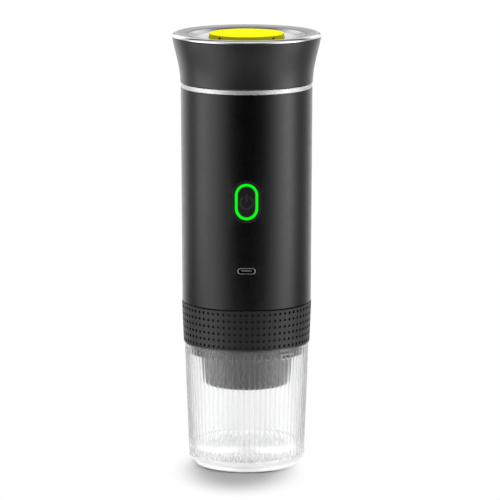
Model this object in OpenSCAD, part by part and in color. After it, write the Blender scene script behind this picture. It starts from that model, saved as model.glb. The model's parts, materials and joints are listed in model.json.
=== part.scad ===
// Portable espresso maker that stands on its own coffee cup.
// From the table up: clear cup, brew head with a dotted grip, battery housing with a heated
// water tank, and a flared screw lid with a press-to-vent button. The front faces -Y.
// All sizes are in millimetres. The origin is on the table, at the middle of the cup's foot.

/* [Housing] */
// Outer radius of the housing shell at its lower edge
shell_low_r = 31.7; // [31:0.1:34]
// Outer radius of the housing shell at its upper edge
shell_top_r = 32.25; // [31.8:0.05:34.5]
// Height of the housing shell
shell_h = 105.8; // [100:0.1:130]
// Wall of the housing shell
shell_wall = 1.8; // [1.2:0.1:2.4]
// Thickness of the base flange that closes the housing
base_t = 2.5; // [2:0.1:4]

/* [Cup] */
// Height of the cup from the table to its rim
cup_h = 61.5; // [56:0.5:75]
// How far the cup's rim stands in from the grip's lower edge
cup_inset = 0.5; // [0.2:0.1:1]
// Radius that the cup wall loses from the rim to the heel
cup_draft = 2.1; // [1:0.1:3]
// Thickness of the cup wall
cup_wall = 1.9; // [1.5:0.1:2.4]
// Height at which the straight wall ends and the rounded heel starts
cup_heel_z = 5.6; // [4:0.1:7]
// Height of the standing foot under the heel
cup_foot_h = 1.9; // [1.2:0.1:3]
// How far the foot stands in from the heel
cup_foot_inset = 3.3; // [2:0.1:5]
// Height of the thick clear floor inside the cup
cup_floor_z = 9.4; // [7.5:0.1:12]
// Depth of the hollow under the foot
cup_hollow = 0.8; // [0.4:0.1:1.5]
// Width of the ring that the cup stands on
cup_foot_w = 2.6; // [1.5:0.1:5]
// Number of flutes around the cup wall
flute_count = 70; // [40:1:90]
// Depth of each flute
flute_depth = 0.32; // [0.1:0.02:0.5]
// Width of the ridge between two flutes at the heel
flute_ridge = 0.3; // [0.2:0.02:0.6]
// Height of the plain rim above the flutes
plain_rim_h = 1.3; // [0.8:0.1:3]
// Width of the oval pull pad on the cup wall
pad_w = 8.2; // [5:0.1:12]
// Height of the oval pull pad
pad_h = 3.1; // [2:0.1:4]
// Distance from the rim down to the middle of the pad
pad_drop = 2.4; // [2:0.1:6]
// Angle of the pad, to the right of the front
pad_angle = 40; // [0:1:90]
// How far the pad stands out of the wall
pad_proud = 0.25; // [0.1:0.05:0.5]

/* [Brew head] */
// Height of the collar that plugs into the cup
collar_h = 5.3; // [3:0.1:10]
// Depth of the bucket's underside below the cup rim
bucket_drop = 21.5; // [20:0.5:28]
// How far the bucket stands in from the collar
bucket_inset = 5; // [3.5:0.1:5.5]
// Radius that the bucket loses towards its floor
bucket_draft = 2.1; // [1:0.1:2.6]
// Wall of the bucket
bucket_wall = 1.8; // [1.4:0.1:2.2]
// Floor of the bucket at the spout
bucket_floor = 2; // [1.5:0.1:3]
// Rise of the funnel floor from the spout to the wall
funnel_rise = 0.8; // [0.2:0.1:1.5]
// Outer radius of the coffee spout
spout_r = 4.6; // [3.5:0.1:7]
// Bore radius of the coffee spout
spout_bore_r = 1.9; // [1.2:0.1:3]
// Length of the spout below the bucket
spout_h = 1.2; // [0.5:0.1:3]
// Height of the lip that carries the grip sleeve
lip_h = 0.8; // [0.5:0.1:1.5]
// Wall of the threaded ring inside the grip sleeve
ring_wall = 2.2; // [1.8:0.1:2.8]
// Depth of the basket ledge below the cup rim
ledge_drop = 1.5; // [0.5:0.1:2.5]

/* [Grip sleeve] */
// Height of the grip from the cup rim to the housing seam
grip_h = 20; // [18:0.5:28]
// How far the grip's upper edge stands out of the housing
grip_step = 0.2; // [0:0.05:0.6]
// Radius that the grip loses towards the cup
grip_taper = 0.8; // [0.2:0.1:1.2]
// Thickness of the sleeve at its lower edge
sleeve_t = 1.7; // [1.3:0.1:2.2]
// Rows of dots
dot_rows = 6; // [3:1:7]
// Dots in each row
dot_columns = 70; // [30:1:84]
// Diameter of a dot
dot_d = 1.45; // [0.8:0.05:1.8]
// Depth of a dot
dot_depth = 0.7; // [0.3:0.05:1]
// Distance from the grip's edges to the nearest rows
dot_margin = 1.9; // [1.7:0.1:4]

/* [Filter basket] */
// Depth of the filter basket
basket_depth = 13.5; // [8:0.5:15]
// Sheet thickness of the basket, the filter disc and the shower screen
sheet = 0.5; // [0.4:0.05:0.8]
// Width of the basket's flange
flange_w = 3.3; // [2:0.1:3.6]
// Radius that the basket loses towards its floor
basket_draft = 1.6; // [0.8:0.1:2]
// Gap between the basket and the bucket
basket_gap = 0.6; // [0.4:0.1:1]
// Width of the ledge that holds the filter disc
disc_ledge = 1.6; // [1:0.1:3]
// Diameter of the holes in the filter disc and the shower screen
hole_d = 1; // [0.6:0.05:1.3]
// Distance between rings of holes
hole_pitch = 2.9; // [2.4:0.1:4]

/* [Group head] */
// Thickness of the seal between the group head and the basket
gasket_h = 2.7; // [1.5:0.1:3]
// Depth of the shower screen below the neck
screen_drop = 1.2; // [0.9:0.1:1.4]
// Height of the water space above the shower screen
shower_h = 2; // [1:0.1:3]
// Thickness of the slab above the water space
slab_t = 3; // [2:0.1:5]
// Wall of the hollow neck
neck_side = 3.5; // [2.5:0.1:4.5]

/* [Trim ring] */
// Height of the polished ring under the lid
trim_h = 2.3; // [1.5:0.1:4]
// How far the ring stands in from the shell
trim_inset = 0.15; // [0.05:0.05:0.5]

/* [Water tank] */
// Thickness of the foam around the tank
foam_t = 2.6; // [1.2:0.1:3.9]
// Sheet thickness of the tank
tank_sheet = 0.8; // [0.6:0.05:1.2]
// Corner radius of the tank's floor
tank_corner = 3; // [2:0.1:4]
// Height of the threaded neck above the trim ring
neck_h = 9.4; // [7:0.1:10.5]
// Wall of the threaded neck
neck_wall = 1.35; // [1.1:0.05:1.6]
// Height of the neck's flange inside the shell
neck_flange_h = 3; // [2:0.1:6]
// Thickness of the heater plate
heater_t = 3; // [2:0.1:5]
// Thickness of the pad under the heater
heater_pad_t = 1.2; // [0.6:0.1:2]
// Radius of the thermal cut-out
cutout_r = 4; // [3:0.1:4.5]
// Depth of the thermal cut-out below the pad
cutout_sink = 1.2; // [0.5:0.1:1.5]

/* [Lid] */
// Height of the lid
lid_h = 24.2; // [23:0.1:30]
// How far the lid's lower edge stands out of the shell
lid_step = 0.2; // [0.1:0.05:0.6]
// Radius that the lid gains towards its rim
lid_flare = 4.1; // [2.5:0.1:6]
// Wall of the lid shell
lid_wall = 1.6; // [1.2:0.1:2]
// Height of the metal top plate's edge
rim_h = 1.6; // [1.2:0.1:2]
// Width of the polished rounded rim
rim_w = 2.1; // [1.5:0.1:3]
// Width of the flat ring inside the rim
flat_w = 6; // [4:0.1:6.4]
// Depth of the dish around the vent button
dish_depth = 1.9; // [1.2:0.1:2.4]
// Thickness of the metal top plate
plate_t = 1; // [0.7:0.05:1.2]
// Depth of the top plate's locating skirt
skirt_h = 2.5; // [1.5:0.1:3]
// Thickness of the lid seal
seal_h = 1.6; // [1:0.1:2.5]
// Wall of the threaded liner
liner_wall = 1; // [0.8:0.05:1.2]
// Thickness of the liner's floor
liner_floor = 2; // [1.5:0.1:2.5]
// Thickness of the shelf that the liner is screwed to
shelf_t = 2.5; // [1.5:0.1:3]
// Number of lid screws
lid_screw_count = 4; // [3:1:6]

/* [Vent valve] */
// Radius of the vent button
vent_r = 18.36; // [15:0.02:20]
// Travel of the vent button
vent_travel = 1.5; // [0.8:0.1:1.8]
// How far the button's top lies below the rim
vent_sink = 0.2; // [0:0.05:0.6]
// Rounding of the button's upper edge
vent_round = 0.6; // [0.3:0.05:0.9]
// Thickness of the button's top
vent_top_t = 1.8; // [1.2:0.1:2.2]
// Height of the button's retaining flange
vent_flange_h = 1.4; // [1:0.1:1.8]
// Width of the button's retaining flange
vent_flange_w = 1.2; // [0.8:0.1:1.6]
// Side of each small vent notch
notch_w = 1.3; // [0.8:0.1:2]
// Radius of the valve stem
stem_r = 3; // [2:0.1:3.2]
// Thickness of the valve seal
valve_seal_h = 2.4; // [1.5:0.1:3]
// Radius of the valve seal
valve_seal_r = 7.6; // [7:0.1:9]
// Coil radius of the vent spring
vent_spring_r = 7.5; // [7:0.1:8.5]
// Turns of the vent spring
vent_spring_turns = 5; // [3:1:6]

/* [Controls] */
// Height of the button's middle above the shell's lower edge
button_up = 53.7; // [50:0.1:62]
// Width of the button cap
button_w = 8.6; // [7:0.1:10]
// Length of the button cap
button_l = 15; // [12:0.1:17]
// Travel of the button
button_travel = 0.6; // [0.3:0.05:0.7]
// Gap between the button cap and the light ring
button_gap = 0.2; // [0.15:0.01:0.3]
// Width of the light ring
light_w = 1.6; // [1:0.1:2]
// Width of the bezel around the light ring
bezel_w = 1.2; // [0.8:0.1:2]
// Width of the bezel's flange behind the shell
bezel_flange_w = 1.2; // [0.6:0.1:2]
// Height of the charging port's middle above the shell's lower edge
port_up = 19.6; // [14:0.1:30]
// Width of the charging receptacle
port_w = 8.94; // [8.8:0.02:9.1]
// Height of the charging receptacle
port_h = 3.26; // [3.1:0.02:3.4]
// Length of the charging receptacle
port_l = 7.2; // [6.5:0.1:8]
// Metal thickness of the charging receptacle
port_sheet = 0.3; // [0.2:0.02:0.4]
// How far the receptacle's mouth lies behind the shell's face
port_sink = 0.5; // [0.4:0.1:1]
// Width of the contact tongue
tongue_w = 6.69; // [6:0.01:7]
// Thickness of the contact tongue
tongue_t = 0.7; // [0.6:0.02:0.8]

/* [Control board] */
// Width of the control board
board_w = 22; // [18:0.5:26]
// Thickness of the control board
board_t = 1.6; // [1:0.1:2]
// Depth of the slots that hold the board
board_slot = 1; // [0.6:0.1:1.4]
// Side of the button switch
switch_w = 6; // [5:0.1:7]
// Depth of the button switch
switch_h = 3.5; // [2.5:0.1:4]
// Radius of the switch plunger
switch_pin_r = 1.6; // [1:0.1:2]
// Side of a status light
led_w = 1.6; // [1:0.1:2]
// Height of a status light
led_h = 0.9; // [0.5:0.1:1.2]

/* [Battery frame] */
// Radius of a battery cell
cell_r = 9.2; // [8:0.1:9.3]
// Length of a battery cell
cell_l = 65; // [50:0.5:66]
// Depth of the pockets that hold the cells
pocket_h = 1.5; // [1:0.1:2]
// Wall between the cells and the frame's edge
cell_edge = 0.6; // [0.4:0.1:1.5]
// Thickness of the frame's lower disc
frame_t = 3; // [2.6:0.1:5]
// Thickness of the clamp over the cells
clamp_t = 3.2; // [2.8:0.1:5]
// Radius of the frame's posts
post_r = 3.2; // [2.6:0.1:3.6]
// Thickness of the cell straps
strap_t = 0.2; // [0.1:0.05:0.3]
// Width of the cell straps
strap_w = 6; // [4:0.1:8]
// Radius of the screw shanks
screw_r = 1.25; // [1:0.05:1.4]
// Radius of the screw heads
screw_head_r = 2.2; // [1.8:0.1:2.4]
// Height of the screw heads
screw_head_h = 1.3; // [1:0.1:1.6]

/* [Pump] */
// Thickness of the floor of the pump's valve head
valve_floor = 1.5; // [1:0.1:2.5]
// Outer radius of the pump's steel can
pump_r = 9.4; // [9:0.1:9.5]
// Height of the pump's steel can
pump_can_h = 34; // [28:0.5:38]
// Sheet thickness of the pump's can
can_sheet = 1.2; // [0.8:0.1:1.6]
// Height of the pump's inlet cap
inlet_cap_h = 4; // [3:0.1:5]
// Outer radius of the plunger's guide tube
guide_r = 4.2; // [4:0.1:4.4]
// Wall of the guide tube
guide_wall = 0.7; // [0.5:0.1:0.8]
// Depth to which the guide tube is seated in the valve head
guide_seat = 3; // [2:0.1:4]
// Length of the plunger's body
plunger_l = 18; // [14:0.5:20]
// Stroke of the plunger to each side of its rest
plunger_stroke = 2; // [1:0.1:3]
// Radius of the plunger's piston
piston_r = 1.9; // [1.7:0.1:2]
// Bore of the plunger and its piston
plunger_bore_r = 0.9; // [0.6:0.1:1]
// Radius of the hose nozzles
nozzle_r = 2.2; // [1.9:0.1:2.6]
// Bore radius of the hose nozzles
nozzle_bore_r = 1.2; // [0.8:0.05:1.4]
// Wall of the silicone hoses
hose_wall = 1.2; // [0.8:0.1:1.6]

/* [Fits] */
// Gap between pieces that move past each other
fit_gap = 0.3; // [0.2:0.05:0.4]
// Gap between pieces that are fixed together
snug = 0.05; // [0.03:0.01:0.08]
// Running gap between the plunger and its guide
running_gap = 0.1; // [0.06:0.01:0.15]
// Visible seam between the stacked units
seam = 0.3; // [0.2:0.05:0.5]
// Radial room for the screw threads
thread_gap = 1; // [0.8:0.05:1.2]
// Wire diameter of the springs
wire_d = 0.8; // [0.6:0.05:0.9]

/* [Hidden] */
$fn = 96;

// Heights of the stacked units
z_seat = cup_h;
z_sleeve = z_seat + lip_h;
z_grip_top = z_seat + grip_h;
z_shell = z_grip_top + seam;
z_shell_top = z_shell + shell_h;
z_trim_top = z_shell_top + trim_h;
z_neck_top = z_trim_top + neck_h;
z_lid = z_trim_top + seam;
z_top = z_lid + lid_h;
z_lid_edge = z_top - rim_h;

// Radii of the grip and the cup, from the shell down
grip_top_r = shell_low_r + grip_step;
grip_low_r = grip_top_r - grip_taper;
sleeve_seat_r = grip_low_r - sleeve_t;
thread_bore_r = sleeve_seat_r - ring_wall;
neck_r = thread_bore_r - thread_gap;
cup_rim_r = grip_low_r - cup_inset;
cup_heel_r = cup_rim_r - cup_draft;
cup_foot_r = cup_heel_r - cup_foot_inset;
cup_bore_r = cup_rim_r - cup_wall;
foot_round = cup_foot_h / 2;
cup_fillet = 2;
rim_round = 0.5;

// Brew head and basket
collar_r = cup_bore_r - fit_gap;
z_collar = z_seat - collar_h;
z_bucket = z_seat - bucket_drop;
bucket_top_r = collar_r - bucket_inset;
bucket_low_r = bucket_top_r - bucket_draft;
bucket_round = 1.5;
z_ledge = z_seat - ledge_drop;
basket_top_r = bucket_top_r - bucket_wall - basket_gap;
basket_low_r = basket_top_r - basket_draft;
basket_flange_r = basket_top_r + flange_w;
basket_pocket_r = basket_flange_r + basket_gap;
z_basket = z_ledge + sheet - basket_depth;
z_gasket = z_ledge + sheet;
z_neck_low = z_gasket + gasket_h;
z_pocket = z_neck_low - fit_gap;
gasket_in_r = basket_top_r - sheet;
gasket_r = basket_flange_r;
edge_cut = 0.5;

// Group head
screen_r = gasket_in_r - 2 * fit_gap;
shower_r = screen_r - 3 * sheet;
z_screen = z_neck_low - screen_drop;
z_slab = z_neck_low + shower_h;
z_slab_mid = z_slab + slab_t / 2;
z_slab_top = z_slab + slab_t;
base_r = shell_low_r - shell_wall - snug;
neck_hollow_r = neck_r - neck_side;
boss_r = 2 * screw_head_r;
z_deck = z_shell + base_t;

// Battery frame, from the base flange up; the clamp passes through the shell's lower end
frame_r = shell_low_r - shell_wall - fit_gap;
z_frame_top = z_deck + frame_t;
z_cell = z_frame_top - pocket_h + strap_t;
z_cell_top = z_cell + cell_l;
z_clamp = z_cell_top + strap_t - pocket_h;
z_clamp_top = z_clamp + clamp_t;
clamp_r = min(shell_low_r, shell_r(z_clamp_top)) - shell_wall - fit_gap;
cell_ring_r = clamp_r - cell_edge - cell_r;
cell_angles = [0, 90, 180];
post_angles = [45, 135, 222, 318];
post_ring_r = clamp_r - post_r - cell_edge;
z_heater = z_clamp_top + heater_pad_t;
z_tank = z_heater + heater_t;
heater_r = post_ring_r - screw_head_r - fit_gap;
cutout_y = cell_ring_r - cell_r - 2 * fit_gap - cutout_r;

// Tank and neck; the wrapped tank passes through the shell's upper end
z_foam = z_tank + tank_corner;
foam_r = min(shell_top_r, shell_r(z_foam)) - shell_wall - fit_gap;
tank_out_r = foam_r - foam_t - snug;
tank_r = tank_out_r - tank_sheet;
collar_in_r = tank_out_r + snug;
collar_out_r = collar_in_r + neck_wall;
z_neck_flange = z_shell_top - neck_flange_h;
z_tank_lip = z_neck_top + tank_sheet;
trim_r = shell_top_r - trim_inset;

// Board, port and button, from the shell's front face inwards
z_button = z_shell + button_up;
z_port = z_shell + port_up;
board_front = shell_r(z_port) - port_sink - port_l;
board_back = board_front - board_t;
switch_pin_out = button_travel + button_gap;
button_back = board_front + switch_h + switch_pin_out;
light_in_w = button_w + 2 * button_gap;
light_in_l = button_l + 2 * button_gap;
light_out_w = light_in_w + 2 * light_w;
light_out_l = light_in_l + 2 * light_w;
bezel_out_w = light_out_w + 2 * bezel_w;
bezel_out_l = light_out_l + 2 * bezel_w;
bezel_proud = 0.1;
button_sunk = 0.15;

// The pump stands in the middle of the room between the side cells and the board
pump_room = board_back - 2 * fit_gap;
cell_clear = cell_r + fit_gap;
room_r = (pow(pump_room, 2) + pow(cell_ring_r, 2) - pow(cell_clear, 2)) / (2 * (pump_room + cell_clear));
pump_y = room_r - pump_room;
chamber_r = piston_r + fit_gap;
valve_r = 1.5 * chamber_r;
valve_h = 3;
valve_web = 1;
z_valve_floor = z_frame_top + valve_floor;
z_valve = z_valve_floor + valve_h;
z_chamber = z_valve + valve_web;
z_piston = z_chamber + 1.5 * plunger_stroke;
z_guide = z_piston + 2 * plunger_stroke;
z_can = z_guide + guide_seat;
z_can_top = z_can + pump_can_h;
z_inlet_top = z_can_top + inlet_cap_h;
inlet_seat = inlet_cap_h / 2;
z_guide_top = z_can_top + inlet_seat;
guide_bore_r = guide_r - guide_wall;
z_plunger = (z_can + z_can_top - plunger_l) / 2;
z_plunger_top = z_plunger + plunger_l;
plunger_r = guide_bore_r - running_gap;
pump_spring_r = (piston_r + guide_bore_r) / 2;
hose_in_r = nozzle_r + snug;
hose_r = hose_in_r + hose_wall;
nozzle_end_gap = 1;
z_inlet_hose = z_inlet_top + nozzle_end_gap;
z_inlet_mid = (z_inlet_hose + z_clamp_top) / 2;
z_outlet_hose = z_slab_top + nozzle_end_gap;
z_outlet_mid = (z_outlet_hose + z_shell) / 2;

// Lid and vent valve
lid_low_r = shell_top_r + lid_step;
lid_top_r = lid_low_r + lid_flare;
liner_in_r = collar_out_r + thread_gap;
liner_r = liner_in_r + liner_wall;
z_liner = z_tank_lip + seal_h;
z_shelf = z_liner + liner_floor;
z_dish = z_top - dish_depth;
flat_in_r = lid_top_r - rim_w - flat_w;
dish_floor_w = 3;
dish_floor_r = vent_r + dish_floor_w;
well_r = vent_r + fit_gap;
z_vent_top = z_top - vent_sink;
z_vent_roof = z_vent_top - vent_top_t;
z_vent_flange_top = z_dish - plate_t - fit_gap;
z_vent_flange = z_vent_flange_top - vent_flange_h;
vent_flange_r = well_r + vent_flange_w;
vent_hollow_r = vent_r - 2 * vent_flange_w;
seal_in_r = tank_r - fit_gap;
lid_screw_ring_r = seal_in_r - 2 * fit_gap - screw_head_r;
shelf_in_r = lid_screw_ring_r - screw_head_r;
hub_r = stem_r + fit_gap + 1;
hub_h = 3;
vent_hole_r = 0.8;
vent_hole_ring_r = hub_r + vent_hole_r + fit_gap;
stem_head_h = 1.2;
stem_head_r = 1.5 * stem_r;
z_valve_seal = z_liner - valve_seal_h;
z_stem = z_valve_seal - stem_head_h;

arc_steps = 8;
spring_sides = 6;
curl_rings = 8;

// Outer radius of the housing shell at a height
function shell_r(z) = shell_low_r + (shell_top_r - shell_low_r) * (z - z_shell) / shell_h;
// Outer radius of the cup wall at a height
function cup_r(z) = cup_heel_r + cup_draft * (z - cup_heel_z) / (cup_h - cup_heel_z);
// Outer radius of the grip at a height
function grip_r(z) = grip_low_r + grip_taper * (z - z_seat) / grip_h;
// Outer radius of the lid at a height: flat at the foot, then flaring out to the rim
function lid_r(z) = let (u = (z - z_lid) / (z_lid_edge - z_lid)) lid_low_r + lid_flare * u * u * (2 - u);
// Points of a quarter ellipse about a centre, from one angle to another
function arc(centre, a, b, from, to) = [
    for (i = [0:arc_steps]) let (t = from + (to - from) * i / arc_steps)
        [centre[0] + a * cos(t), centre[1] + b * sin(t)]
];
// Flat shape with straight sides and half-round ends, longest along Y
module obround(w, l) {
    square([w, l - w], center = true);
    for (side = [-1, 1]) translate([0, side * (l - w) / 2]) circle(d = w);
}

// Prism through the front of the housing at height z, starting at distance from_y before the axis
module front_prism(z, from_y, length) {
    translate([0, -from_y, z]) rotate([90, 0, 0]) linear_extrude(length) children();
}

// Solid bounded by the shell's outer face, moved out by proud
module shell_core(proud) {
    rotate_extrude() polygon([
        [0, z_shell], [shell_low_r + proud, z_shell],
        [shell_top_r + proud, z_shell_top], [0, z_shell_top]
    ]);
}

module tube(r, bore_r, h) {
    difference() {
        cylinder(r = r, h = h);
        translate([0, 0, -1]) cylinder(r = bore_r, h = h + 2);
    }
}

module at_pump() {
    translate([0, pump_y, 0]) children();
}

module at_cells() {
    for (a = cell_angles) rotate(a) translate([cell_ring_r, 0, 0]) children();
}

module at_posts() {
    for (a = post_angles) rotate(a) translate([post_ring_r, 0, 0]) children();
}

module at_lid_screws() {
    for (i = [0:lid_screw_count - 1]) rotate((i + 0.5) * 360 / lid_screw_count)
        translate([lid_screw_ring_r, 0, 0]) children();
}

// Rings of round holes through a disc, outside a plain middle
module perforations(clear_r, r, z, t) {
    first = ceil((clear_r + hole_d) / hole_pitch);
    last = floor((r - hole_d) / hole_pitch);
    for (ring = [first:last]) for (i = [0:6 * ring - 1]) rotate(i * 60 / ring)
        translate([ring * hole_pitch, 0, z - 1]) cylinder(d = hole_d, h = t + 2, $fn = 16);
}

// Round-wire coil spring standing on z, with its least gap between turns printed
module coil_spring(r, z, h, turns) {
    rings = turns * curl_rings;
    middles = [
        for (i = [0:rings]) let (turn = 360 * i / curl_rings)
            [r * cos(turn), r * sin(turn), (h - wire_d) * i / rings]
    ];
    echo(least_gap_between_turns = min([
        for (i = [0:rings - curl_rings]) for (j = [i + curl_rings / 2:rings])
            norm(middles[i] - middles[j]) - wire_d
    ]));
    points = [
        for (i = [0:rings]) for (k = [0:spring_sides - 1])
            let (turn = 360 * i / curl_rings, side = 360 * k / spring_sides)
            let (ring_r = r + wire_d / 2 * cos(side))
            let (ring_z = z + wire_d / 2 + (h - wire_d) * i / rings + wire_d / 2 * sin(side))
            [ring_r * cos(turn), ring_r * sin(turn), ring_z]
    ];
    walls = [
        for (i = [0:rings - 1]) for (k = [0:spring_sides - 1])
            let (a = i * spring_sides + k, b = i * spring_sides + (k + 1) % spring_sides)
            each [[a, a + spring_sides, b], [b, a + spring_sides, b + spring_sides]]
    ];
    ends = [
        for (k = [1:spring_sides - 2]) each [
            [0, k, k + 1],
            [rings * spring_sides, rings * spring_sides + k + 1, rings * spring_sides + k]
        ]
    ];
    polyhedron(points, concat(walls, ends));
}

// Shallow round-bottomed hollow along the cup wall, from the heel to the plain rim
module flute() {
    chord = 2 * PI * cup_heel_r / flute_count - flute_ridge;
    sink = flute_depth - pow(chord, 2) / (8 * cup_heel_r);
    flute_r = (pow(chord / 2, 2) + pow(sink, 2)) / (2 * sink);
    lean = atan(cup_draft / (cup_h - cup_heel_z));
    translate([cup_heel_r - flute_depth + flute_r, 0, cup_heel_z]) rotate([0, lean, 0])
        cylinder(r = flute_r, h = cup_h - plain_rim_h - cup_heel_z);
}

// Clear tumbler with a fluted wall, a thick floor and two oval pull pads
module cup() {
    z_plain = z_collar - fit_gap;
    floor_r = cup_r(cup_floor_z) - cup_wall;
    color([0.9, 0.93, 0.95, 0.5]) difference() {
        union() {
            difference() {
                rotate_extrude() polygon(concat(
                    [[0, 0]],
                    arc([cup_foot_r - foot_round, foot_round], foot_round, foot_round, -90, 0),
                    arc([cup_foot_r, cup_heel_z], cup_foot_inset, cup_heel_z - cup_foot_h, -90, 0),
                    arc([cup_rim_r - rim_round, cup_h - rim_round], rim_round, rim_round, 0, 90),
                    [[0, cup_h]]
                ));
                for (i = [0:flute_count - 1]) rotate(i * 360 / flute_count - 90) flute();
            }
            for (side = [0, 180]) rotate(pad_angle - 90 + side) intersection() {
                translate([cup_bore_r, 0, cup_h - pad_drop]) rotate([90, 0, 90])
                    linear_extrude(cup_wall + 1) rotate(90) obround(pad_h, pad_w);
                cylinder(r = cup_rim_r + pad_proud, h = cup_h);
            }
        }
        rotate_extrude() polygon(concat(
            [[0, cup_floor_z]],
            arc([floor_r - cup_fillet, cup_floor_z + cup_fillet], cup_fillet, cup_fillet, -90, 0),
            [
                [cup_r(z_plain) - cup_wall, z_plain], [cup_bore_r, z_plain],
                [cup_bore_r, cup_h + 1], [0, cup_h + 1]
            ]
        ));
        translate([0, 0, -1]) cylinder(r = cup_foot_r - foot_round - cup_foot_w, h = 1 + cup_hollow);
    }
}

// Collar, bucket with spout and threaded ring, moulded in one
module brew_head() {
    bucket_in_low_r = bucket_low_r - bucket_wall;
    z_floor = z_bucket + bucket_floor;
    color([0.16, 0.16, 0.17]) rotate_extrude() polygon(concat(
        [
            [spout_bore_r, z_bucket - spout_h], [spout_r, z_bucket - spout_h], [spout_r, z_bucket]
        ],
        arc([bucket_low_r - bucket_round, z_bucket + bucket_round], bucket_round, bucket_round, -90, 0),
        [
            [bucket_top_r, z_collar], [collar_r - edge_cut, z_collar], [collar_r, z_collar + edge_cut],
            [collar_r, z_seat], [grip_low_r, z_seat], [grip_low_r, z_sleeve],
            [sleeve_seat_r, z_sleeve], [sleeve_seat_r, z_grip_top],
            [thread_bore_r + edge_cut, z_grip_top], [thread_bore_r, z_grip_top - edge_cut],
            [thread_bore_r, z_pocket], [basket_pocket_r, z_pocket], [basket_pocket_r, z_ledge],
            [bucket_top_r - bucket_wall, z_ledge],
            [bucket_in_low_r, z_floor + funnel_rise], [spout_bore_r, z_floor]
        ]
    ));
}

// Soft sleeve around the threaded ring, with a grid of round dots pressed into it
module grip_sleeve() {
    row_step = (grip_h - 2 * dot_margin) / (dot_rows - 1);
    color([0.12, 0.12, 0.125]) difference() {
        rotate_extrude() polygon([
            [sleeve_seat_r + snug, z_sleeve], [grip_r(z_sleeve) - edge_cut / 2, z_sleeve],
            [grip_r(z_sleeve), z_sleeve + edge_cut / 2],
            [grip_top_r, z_grip_top - edge_cut / 2], [grip_top_r - edge_cut / 2, z_grip_top],
            [sleeve_seat_r + snug, z_grip_top]
        ]);
        for (row = [0:dot_rows - 1]) let (z = z_seat + dot_margin + row * row_step)
            for (i = [0:dot_columns - 1]) rotate(i * 360 / dot_columns - 90)
                translate([grip_r(z) - dot_depth, 0, z]) rotate([0, 90, 0])
                    cylinder(d = dot_d, h = dot_depth + 1, $fn = 16);
    }
}

// Pressed steel cup for the ground coffee, open in the middle of its floor
module filter_basket() {
    open_r = basket_low_r - sheet - disc_ledge;
    color([0.8, 0.8, 0.82]) rotate_extrude() polygon([
        [open_r, z_basket], [basket_low_r, z_basket], [basket_top_r, z_ledge],
        [basket_flange_r, z_ledge], [basket_flange_r, z_gasket], [basket_top_r - sheet, z_gasket],
        [basket_low_r - sheet, z_basket + sheet], [open_r, z_basket + sheet]
    ]);
}

// Perforated disc that lies on the basket's ledge
module filter_disc() {
    z = z_basket + sheet;
    disc_r = basket_low_r - sheet - snug;
    color([0.75, 0.75, 0.77]) difference() {
        translate([0, 0, z]) cylinder(r = disc_r, h = sheet);
        perforations(0, disc_r - disc_ledge, z, sheet);
    }
}

// Soft ring that the neck presses onto the basket's flange
module group_gasket() {
    color([0.75, 0.25, 0.2]) translate([0, 0, z_gasket]) tube(gasket_r, gasket_in_r, gasket_h);
}

// Hollow neck that screws into the brew head, with the flange that closes the housing
module group_head() {
    color([0.16, 0.16, 0.17]) difference() {
        union() {
            rotate_extrude() polygon([
                [0, z_slab], [shower_r, z_slab], [shower_r, z_neck_low], [neck_r - edge_cut, z_neck_low],
                [neck_r, z_neck_low + edge_cut], [neck_r, z_shell], [base_r, z_shell], [base_r, z_deck],
                [neck_hollow_r, z_deck], [neck_hollow_r, z_slab_top], [0, z_slab_top]
            ]);
            translate([0, 0, z_screen + sheet]) cylinder(r = boss_r, h = z_slab_mid - z_screen - sheet);
            at_pump() translate([0, 0, z_slab_mid])
                cylinder(r = nozzle_r, h = z_outlet_mid - z_slab_mid - nozzle_end_gap);
        }
        cylinder(r = screw_r + snug, h = z_slab_mid);
        at_pump() translate([0, 0, z_slab - 1]) cylinder(r = nozzle_bore_r, h = z_outlet_mid - z_slab + 1);
        at_posts() translate([0, 0, z_shell + base_t / 4]) cylinder(r = screw_r + snug, h = base_t);
    }
}

// Pressed screen that spreads the hot water over the coffee
module shower_screen() {
    color([0.8, 0.8, 0.82]) difference() {
        rotate_extrude() polygon([
            [screw_r + snug, z_screen], [screen_r, z_screen], [screen_r, z_neck_low],
            [screen_r - sheet, z_neck_low], [screen_r - sheet, z_screen + sheet],
            [screw_r + snug, z_screen + sheet]
        ]);
        perforations(boss_r, screen_r - sheet, z_screen, sheet);
    }
}

// Screw that holds the shower screen to the boss of the group head
module shower_screw() {
    color([0.7, 0.7, 0.72]) rotate_extrude() polygon([
        [0, z_screen - screw_head_h], [screw_head_r, z_screen - screw_head_h],
        [screw_head_r, z_screen], [screw_r, z_screen], [screw_r, z_slab + slab_t / 3],
        [0, z_slab + slab_t / 3]
    ]);
}

// Tapered body tube with openings for the button and the charging port
module outer_shell() {
    color([0.07, 0.07, 0.075]) difference() {
        rotate_extrude() polygon([
            [shell_low_r - shell_wall, z_shell], [shell_low_r - edge_cut / 2, z_shell],
            [shell_low_r, z_shell + edge_cut / 2], [shell_top_r, z_shell_top],
            [shell_top_r - shell_wall, z_shell_top]
        ]);
        front_prism(z_button, board_front, shell_top_r)
            obround(bezel_out_w + 2 * snug, bezel_out_l + 2 * snug);
        front_prism(z_port, board_front, shell_top_r)
            rotate(90) obround(port_h + 2 * button_gap, port_w + 2 * button_gap);
    }
}

// Polished ring between the shell and the lid, with a shallow line around its middle
module trim_ring() {
    color([0.82, 0.83, 0.84]) rotate_extrude() polygon([
        [collar_out_r + snug, z_shell_top], [trim_r, z_shell_top],
        [trim_r, z_shell_top + trim_h * 0.45], [trim_r - edge_cut / 3, z_shell_top + trim_h / 2],
        [trim_r, z_shell_top + trim_h * 0.55], [trim_r, z_trim_top - edge_cut / 2],
        [trim_r - edge_cut / 2, z_trim_top], [collar_out_r + snug, z_trim_top]
    ]);
}

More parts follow.
